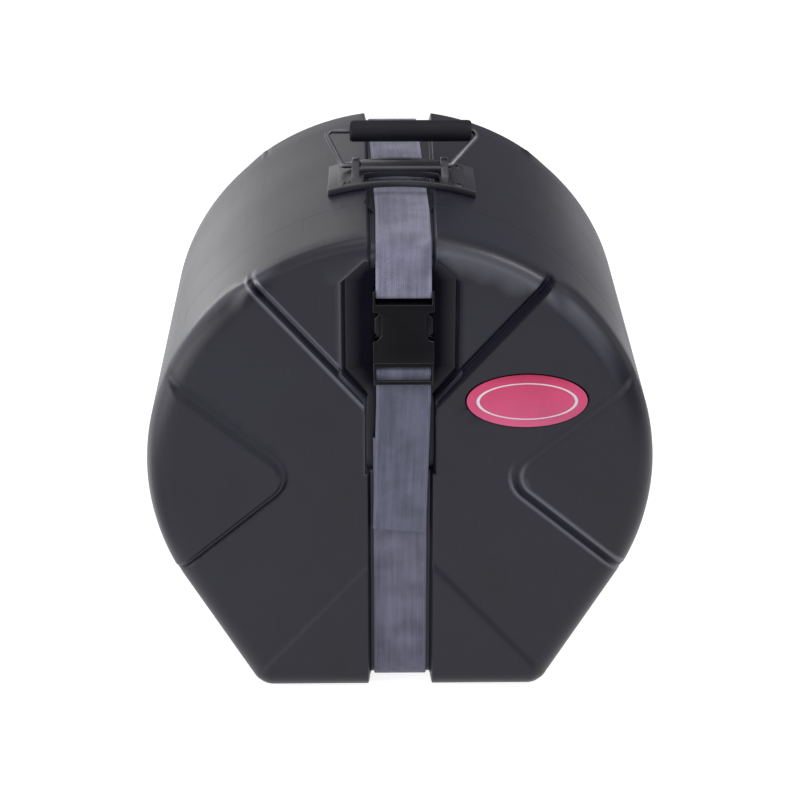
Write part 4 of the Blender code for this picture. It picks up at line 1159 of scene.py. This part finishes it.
housing_cuts = [
    buckle_block("slot", buckle_half - buckle_rail, right_through,
                 (housing_top, housing_top + 0.05)),
    buckle_block("socket", socket_half, (buckle_front + 0.002, buckle_back - 0.002),
                 (housing_mouth - 0.01, housing_mouth + 0.051))]
for hand in (-1, 1):
    edge = buckle_x + hand * (buckle_half + 0.01)
    inner = buckle_x + hand * (buckle_half - notch_depth)
    slope = buckle_x + hand * (buckle_half - notch_depth * 0.55)
    housing_cuts.append(prism("notch", [(edge, notch_low - 0.004), (slope, notch_low),
                                        (inner, notch_low + 0.005), (inner, notch_high - 0.003),
                                        (slope, notch_high), (edge, notch_high + 0.002)],
                              *right_through))
housing_block = buckle_block("buckle_housing_shell", buckle_half, (buckle_front, buckle_back),
                             (housing_mouth, housing_top + housing_ears))
housing_mesh = carved("buckle_housing_shell", housing_block, cutters=housing_cuts,
                      soft=buckle_soft, steps=3)
housing_mesh = carved("buckle_housing_shell", housing_mesh,
                      [buckle_bar("housing_bar", housing_bar_z)])
housing = add_piece("buckle_housing_shell", housing_mesh, "lid", buckle_look,
                    sharp=50.0)
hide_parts("buckle_housing")

insert_block = buckle_block("frame", buckle_half, (buckle_front, buckle_back),
                            (insert_base, insert_top))
insert_slot = buckle_block("slot", buckle_half - buckle_rail, right_through,
                           (insert_base - 0.01, insert_top - 0.0046))
lip = buckle_block("lip", socket_half, (buckle_front + 0.0003, buckle_front + 0.0033),
                   (insert_base + 0.0012, insert_base + 0.0052))
tongue = buckle_block("tongue", 0.005, (buckle_mid - 0.003, buckle_mid + 0.003),
                      (insert_top - 0.0023, insert_top + 0.042))
insert_mesh = carved("buckle_insert_frame", insert_block, cutters=[insert_slot],
                     soft=buckle_soft, steps=3)
insert_mesh = carved("buckle_insert_frame", insert_mesh,
                     [buckle_bar("insert_bar", insert_bar_z), carved("lip", lip, soft=0.0007),
                      carved("tongue", tongue, soft=0.0008)])
insert = add_piece("buckle_insert_frame", insert_mesh, "insert", buckle_look,
                   sharp=50.0)
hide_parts("buckle_insert")

prong_root = 0.0025
prong_half_depth = 0.004
for hand, side in ((-1, "left"), (1, "right")):
    axis_x = buckle_x + hand * 0.0195
    axis_z = housing_mouth + 0.0025
    line = [(prong_root * math.cos(math.pi * (1 + step / 10)),
             prong_root * math.sin(math.pi * (1 + step / 10))) for step in range(11)]
    line += [(0.0025, 0.0215), (0.0071, 0.026), (0.0071, 0.0405), (0.0003, 0.047),
             (-0.002, 0.047)]
    shape = prism("prong", [(axis_x + hand * x, axis_z + z) for x, z in line],
                  buckle_mid - prong_half_depth, buckle_mid + prong_half_depth)
    prong = add_piece("buckle_prong_" + side + "_arm", carved("prong", shape, soft=0.0006),
                      "prong_" + side, buckle_look, sharp=50.0)
    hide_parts("buckle_prong_" + side)

# Badge. An oval of printed metal under a thin dome of clear resin, glued into its seat on the lid.
# It is left bare inside its white ring.
badge_dome = 0.0010
badge_rim_y = badge_low[1] + badge_dome
ring_out = (0.0088, 0.0078)
ring_in = (ring_out[0] + 0.0030, ring_out[1] + 0.0013)
badge_sides = 96


def oval(form, inset_x, inset_z, y):
    """One ring of the badge: the oval moved in at its sides and at its top and bottom."""
    turns = [math.tau * step / badge_sides for step in range(badge_sides)]
    return [form.verts.new((badge_centre[0] + (badge_half[0] - inset_x) * math.cos(turn), y,
                            badge_centre[1] + (badge_half[1] - inset_z) * math.sin(turn)))
            for turn in turns]


form = bmesh.new()
rings = [oval(form, 0.0, 0.0, badge_high[1]), oval(form, 0.0, 0.0, badge_rim_y)]
insets = [(0.0004, 0.0004), (0.0012, 0.0012), (0.0026, 0.0026), (0.0045, 0.0045), ring_out,
          (ring_out[0] + 0.0002, ring_out[1] + 0.0002), ring_in,
          (ring_in[0] + 0.0002, ring_in[1] + 0.0002), (0.016, 0.013), (0.024, 0.018),
          (0.034, 0.0225)]
for inset_x, inset_z in insets:
    share = 1.0 - min(inset_z / 0.018, 1.0)
    rings.append(oval(form, inset_x, inset_z, badge_rim_y - badge_dome * (1.0 - share ** 3)))
bands = skinned(form, rings, True)
for face in bands[insets.index(ring_in) + 1]:
    face.material_index = 1
mesh = finished(form, "badge_oval")

enamel, tree, shader = new_material("crimson_print", (0.72, 0.050, 0.17), 0.34,
                                    Specular_IOR_Level=0.25, Coat_Weight=0.25, Coat_Roughness=0.10)
marks = use_group(tree, speckle, Size=500.0, Blotch_Size=26.0)
place = new_node(tree, "SeparateXYZ", new_node(tree, "TexCoord").outputs["Generated"])
# The crimson runs from lighter at the top to darker at the bottom.
tint = colour_ramp(tree, place.outputs["Z"], (0.0, (0.96, 0.155, 0.330)),
                   (0.22, (0.86, 0.110, 0.260)), (0.80, (0.80, 0.070, 0.195)),
                   (1.0, (0.56, 0.030, 0.095)))
faded = colour_ramp(tree, marks["Blotch"], (0.35, (0.88, 0.88, 0.88)), (0.65, (1.0, 1.0, 1.0)))
feed(tree, shader, Base_Color=mixed(tree, 1.0, tint, faded, "MULTIPLY"))
bumped(tree, shader, marks["Height"], 0.00004, 0.5)
white_print, tree, shader = new_material("white_print", (0.86, 0.84, 0.85), 0.35,
                                         Coat_Weight=0.8, Coat_Roughness=0.08)
marks = use_group(tree, speckle, Size=500.0, Blotch_Size=40.0)
feed(tree, shader, Base_Color=colour_ramp(tree, marks["Blotch"], (0.3, (0.80, 0.76, 0.78)),
                                          (0.7, (0.90, 0.88, 0.89))))
badge = add_piece("badge_oval", mesh, "lid", enamel, sharp=60.0)
mesh.materials.append(white_print)
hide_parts("badge_plate")

# Handle base. A saddle moulded in black nylon: a frame that follows the crown, a bridge over the
# strap, and two ears that hold the bail. Four bolts fix it through the shell.
handle_y = -0.020
handle_x = 0.003
foot_outer = 0.0705
frame_thick = 0.0065
window_half = 0.036
bridge_half = 0.010
handle_look = moulded_look("black_nylon", (0.008, 0.008, 0.012), (0.015, 0.015, 0.022),
                           roughness=0.32, spread=0.12, grain_size=1300.0, grain_depth=0.0001,
                           scuff=0.03, gloss=0.65)


def crown_height(x, lift):
    """Height of the case's crown line at a place across it, raised by a lift."""
    return centre_height + math.sqrt((shell_radius + lift) ** 2 - x * x)


arc = [handle_x + foot_outer * step / 16 for step in range(-16, 17)]
frame_outline = [(x, crown_height(x, 0.0003)) for x in arc]
frame_outline += [(x, crown_height(x, frame_thick)) for x in reversed(arc)]
frame_front, frame_back = handle_y - 0.039, handle_y + 0.030
ear_places = ((-1, -0.0447, -0.0372), (1, 0.0406, 0.0481))
pivot_y = handle_y + 0.008
pivot_z = crown_z + 0.0054
bore_radius = 0.0028
bolt_across = 0.0526
bolt_ends = (("front", 0.031), ("back", -0.0215))
bolt_hole_radius = 0.0028
head_room_radius = 0.0055
windows = [block("window", (handle_x - window_half, low_y, 0.40),
                 (handle_x + window_half, high_y, 0.52))
           for low_y, high_y in ((frame_front + 0.0045, handle_y - bridge_half),
                                 (handle_y + bridge_half + 0.001, frame_back - 0.0045))]
saddle = carved("saddle", prism("saddle", frame_outline, frame_front, frame_back),
                cutters=windows, soft=0.0013, steps=3)

bridge_top = crown_z + 0.0104
bridge_under = crown_z + 0.0034
bridge_foot = crown_z - 0.002
bridge_side = [(0.033, bridge_under), (0.0365, bridge_under - 0.0005), (0.0405, bridge_foot),
               (0.0475, bridge_foot), (0.0430, bridge_top - 0.0025), (0.0375, bridge_top)]
bridge_line = [(handle_x - x, z) for x, z in bridge_side[2::-1]]
bridge_line += [(handle_x + x, z) for x, z in bridge_side]
bridge_line += [(handle_x - x, z) for x, z in bridge_side[:2:-1]]
bridge = carved("bridge", prism("bridge", bridge_line, handle_y - bridge_half,
                                handle_y + bridge_half + 0.001), soft=0.0022, steps=4)
ear_line = [(-0.023, -0.001), (-0.023, 0.0010), (-0.020, 0.0035), (-0.002, 0.0122),
            (0.004, 0.0131), (0.012, 0.0128), (0.016, 0.0100), (0.0162, -0.001)]
ear_line = [(handle_y + y, crown_z + z) for y, z in ear_line]
ears = []
holes = []
for hand, near, far in ear_places:
    ears.append(carved("ear", prism("ear", ear_line, near, far, "x"), soft=0.0012, steps=3))
    inner = near - 0.0015 if hand > 0 else far + 0.0015
    holes.append(tube("bore", [Vector((inner, pivot_y, pivot_z)),
                               Vector((inner + hand * 0.02, pivot_y, pivot_z))], bore_radius))
bolt_frames = {}
for side, hand in (("left", -1), ("right", 1)):
    for end, ahead in bolt_ends:
        turn = Matrix.Rotation(math.asin((hand * bolt_across + handle_x) / shell_radius), 4, "Y")
        bolt_frames[side + "_" + end] = Matrix.Translation(
            (0.0, handle_y - ahead, centre_height)) @ turn @ Matrix.Translation(
                (0.0, 0.0, shell_radius))
for bolt_frame in bolt_frames.values():
    for radius, low in ((bolt_hole_radius, -0.02), (head_room_radius, frame_thick - 0.0026)):
        hole = tube("hole", [Vector((0.0, 0.0, low)), Vector((0.0, 0.0, 0.03))], radius)
        hole.transform(bolt_frame)
        holes.append(hole)
base = add_piece("handle_saddle", carved("handle_saddle", saddle, [bridge] + ears, holes), "body",
                 handle_look, sharp=50.0)
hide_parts("handle_base")

# Handle bolts. Black zinc pan-head screws with a hexagonal socket, let into the feet of the base;
# the nuts and the plates that spread their load lie inside the shell and keep their CAD shapes.
head = frame_thick + 0.0006
screw_line = [(0.0025, -0.0165), (0.0025, head - 0.0026), (0.0052, head - 0.0026),
              (0.0052, head - 0.0012), (0.0048, head - 0.0005), (0.0038, head), (0.0019, head)]
socket_flat = 0.00155


def metal_look(name, colour, roughness, blotches, grain_size, blotch_size, spread, smoothest):
    """Make a dull metal with faint blotches."""
    made, tree, shader = new_material(name, colour, roughness, metallic=0.9)
    marks = use_group(tree, speckle, Size=grain_size, Blotch_Size=blotch_size)
    feed(tree, shader, Base_Color=colour_ramp(tree, marks["Blotch"], *blotches),
         Roughness=graded(tree, marks["Height"], spread, smoothest))
    return made


steel = metal_look("black_zinc", (0.060, 0.060, 0.066), 0.40,
                   ((0.3, (0.045, 0.045, 0.050)), (0.7, (0.085, 0.085, 0.092))),
                   grain_size=700.0, blotch_size=60.0, spread=0.25, smoothest=0.22)
turns = [math.tau * step / 24 for step in range(24)]
screw_rings = [[(radius, rise)] * len(turns) for radius, rise in screw_line]
screw_rings += [[(socket_flat / math.cos((turn % (math.pi / 3)) - math.pi / 6), rise)
                 for turn in turns] for rise in (head - 0.0001, head - 0.0018)]
for place_name, bolt_frame in bolt_frames.items():
    form = bmesh.new()
    rings = [[form.verts.new((radius * math.cos(turn), radius * math.sin(turn), rise))
              for turn, (radius, rise) in zip(turns, ring)] for ring in screw_rings]
    skinned(form, rings, True)
    mesh = finished(form, "handle_screw_" + place_name)
    mesh.transform(bolt_frame)
    screw = add_piece("handle_screw_" + place_name, mesh, "body", steel, sharp=35.0)
    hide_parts("handle_bolt_" + place_name)
for name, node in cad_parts.items():
    if name.startswith(("handle_nut", "handle_plate")):
        node.data.materials.clear()
        node.data.materials.append(steel)

# Foam. Grey open-cell foam cut from sheet and glued in: a disc behind each end and a sleeve inside
# each wall, with channels where the shell's groove, the buckle's pocket and the plates stand in.
foam_clear = wall + 0.0003
foam_thick = 0.020
foam_soft = 0.0022
disc_inset = edge_radius + 0.0015
disc_near = half_depth - inner_level - wall - 0.0005
disc_far = disc_near - 0.022
channel_half = groove_half_mouth + foam_clear + 0.0012
channel_back = half_depth - groove_depth - foam_clear - 0.0006
foam, tree, shader = new_material("grey_foam", (0.046, 0.046, 0.050), 0.92,
                                  Specular_IOR_Level=0.2, Sheen_Weight=0.3)
cells = new_node(tree, "TexVoronoi", Vector=new_node(tree, "TexCoord").outputs["Object"],
                 Scale=650.0)
pores = math_node(tree, "MULTIPLY", cells.outputs["Distance"], 1.6)
pores = math_node(tree, "MINIMUM", pores, 1.0)
marks = use_group(tree, speckle, Size=240.0, Blotch_Size=9.0)
# The pores are painted darker than the cell walls, as painted shade in them.
base = colour_ramp(tree, pores, (0.10, (0.012, 0.012, 0.014)), (0.55, (0.052, 0.052, 0.057)),
                   (0.95, (0.078, 0.078, 0.084)))
faded = colour_ramp(tree, marks["Blotch"], (0.3, (0.78, 0.78, 0.80)), (0.7, (1.0, 1.0, 1.0)))
feed(tree, shader, Base_Color=mixed(tree, 1.0, base, faded, "MULTIPLY"))
roughened = math_node(tree, "MULTIPLY", marks["Height"], 0.8)
bumped(tree, shader, math_node(tree, "ADD", pores, roughened), 0.0006, 0.8)


def outline_inset(inset):
    """The case's outline moved in by an even amount, as (x, z) points."""
    return [(x - normal_x * inset, z - normal_z * inset)
            for x, z, normal_x, normal_z in outline_samples()[::2]]


def foam_piece(name, mesh, body, node):
    """Put a pad of foam in the scene in place of its CAD node."""
    pad = add_piece(name, mesh, body, foam, sharp=60.0)
    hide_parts(node)


def groove_rooms(low_y, high_y):
    """Blocks that clear the strap's groove over the crown and under the foot."""
    deep = groove_depth + foam_clear + 0.0004
    wide = channel_half + groove_taper
    return [block("room", (groove_drift - wide, low_y - 0.01, crown_z - deep),
                  (groove_drift + wide, high_y + 0.01, crown_z + 0.01)),
            block("room", (-wide, low_y - 0.01, -0.01), (wide, high_y + 0.01, deep))]


pocket_room = prism("pocket_room", [tuple(p) for p in grown(pocket_outline(), foam_clear + 0.0008)],
                    -0.25, -half_depth + pocket_depth + foam_clear + 0.0006)
for side, body, node in ((-1, "lid", "lid_end_pad"), (1, "body", "body_end_pad")):
    disc = prism("disc", outline_inset(disc_inset), *sorted((side * disc_near, side * disc_far)))
    wide = channel_half + (groove_taper if side > 0 else 0.0)
    near_y, far_y = sorted((side * channel_back, side * 0.25))
    rooms = [block("channel", (groove_drift / 2 - wide, near_y, -0.01),
                   (groove_drift / 2 + wide, far_y, 0.50))]
    rooms += [pocket_room] if side < 0 else []
    foam_piece(body + "_end_foam", carved("disc", disc, cutters=rooms, soft=foam_soft, steps=3),
               body, node)

plate_rooms = []
for side in ("left", "right"):
    room = block("plate_room", (-0.0125, -0.0070, -0.0185), (0.0125, 0.0655, 0.01))
    room.transform(bolt_frames[side + "_front"])
    plate_rooms.append(room)
for body, node, low_y, high_y in (("lid", "lid_side_pad", -0.1675, -0.1385),
                                  ("body", "body_side_pad", -0.0892, 0.1675)):
    sleeve = prism("sleeve", outline_inset(foam_clear + 0.0002), low_y, high_y)
    hollow = prism("hollow", outline_inset(foam_clear + foam_thick), low_y - 0.02, high_y + 0.02)
    rooms = [hollow] + groove_rooms(low_y, high_y) + (plate_rooms if body == "body" else [])
    foam_piece(body + "_side_foam", carved("sleeve", sleeve, cutters=rooms, soft=foam_soft,
                                           steps=3, angle=50.0), body, node)

# Bail and grip. A bent steel wire whose ends turn in through the ears, with a rubber grip pushed
# over it; the grip's ends are cupped for the wire's bends.
bail_lean = math.radians(54.5)
bail_length = 0.0413
bail_foot_x = 0.0526
bail_top_x = 0.0770
bail_skew = 0.0068
bail_x = handle_x - 0.0046
wire_radius = 0.0025


def bail_place(x, rise):
    """Turn a place in the bail's own plane into a place in the case."""
    return Vector((x + bail_x, pivot_y + rise * math.sin(bail_lean),
                   pivot_z + rise * math.cos(bail_lean)))


wire_line = rounded_line([(-0.0355, 0.0), (-bail_foot_x, 0.0),
                          (bail_skew - bail_top_x, bail_length),
                          (bail_skew + bail_top_x, bail_length), (bail_foot_x, 0.0),
                          (0.0421, 0.0)], [0.004, 0.0055, 0.0055, 0.004], 9)
wire_steel = metal_look("dull_wire", (0.10, 0.10, 0.11), 0.45,
                        ((0.35, (0.06, 0.06, 0.07)), (0.65, (0.13, 0.13, 0.14))),
                        grain_size=900.0, blotch_size=45.0, spread=0.2, smoothest=0.30)
bail = add_piece("handle_bail_wire",
                 tube("handle_bail_wire", [bail_place(*point) for point in wire_line],
                      wire_radius), "bail", wire_steel)
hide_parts("handle_bail")

grip_half = 0.0595
grip_radius = 0.0105
grip_look = moulded_look("black_rubber", (0.007, 0.007, 0.010), (0.011, 0.011, 0.015),
                         roughness=0.50, spread=0.12, grain_size=1100.0, grain_depth=0.00012,
                         gloss=0.16)
grip_side = [(grip_half - 0.008, 0.0028), (grip_half - 0.0074, 0.0040), (grip_half - 0.001, 0.0068),
             (grip_half - 0.0002, 0.0074), (grip_half, 0.0082), (grip_half - 0.0003, 0.0091),
             (grip_half - 0.0013, 0.0099), (grip_half - 0.0030, 0.0104),
             (grip_half - 0.0055, grip_radius), (grip_half * 0.6, grip_radius),
             (grip_half * 0.3, grip_radius)]
grip_profile = grip_side + [(-x, radius) for x, radius in reversed(grip_side)]
grip_centre = bail_place(bail_skew + 0.0072, bail_length)
form = bmesh.new()
turns = [math.tau * step / 40 for step in range(40)]
rings = [[form.verts.new(grip_centre + Vector((x, radius * math.cos(turn),
                                               radius * math.sin(turn)))) for turn in turns]
         for x, radius in grip_profile]
skinned(form, rings + rings[:1])
mesh = finished(form, "handle_grip_sleeve")
grip = add_piece("handle_grip_sleeve", mesh, "bail", grip_look)
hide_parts("handle_grip")
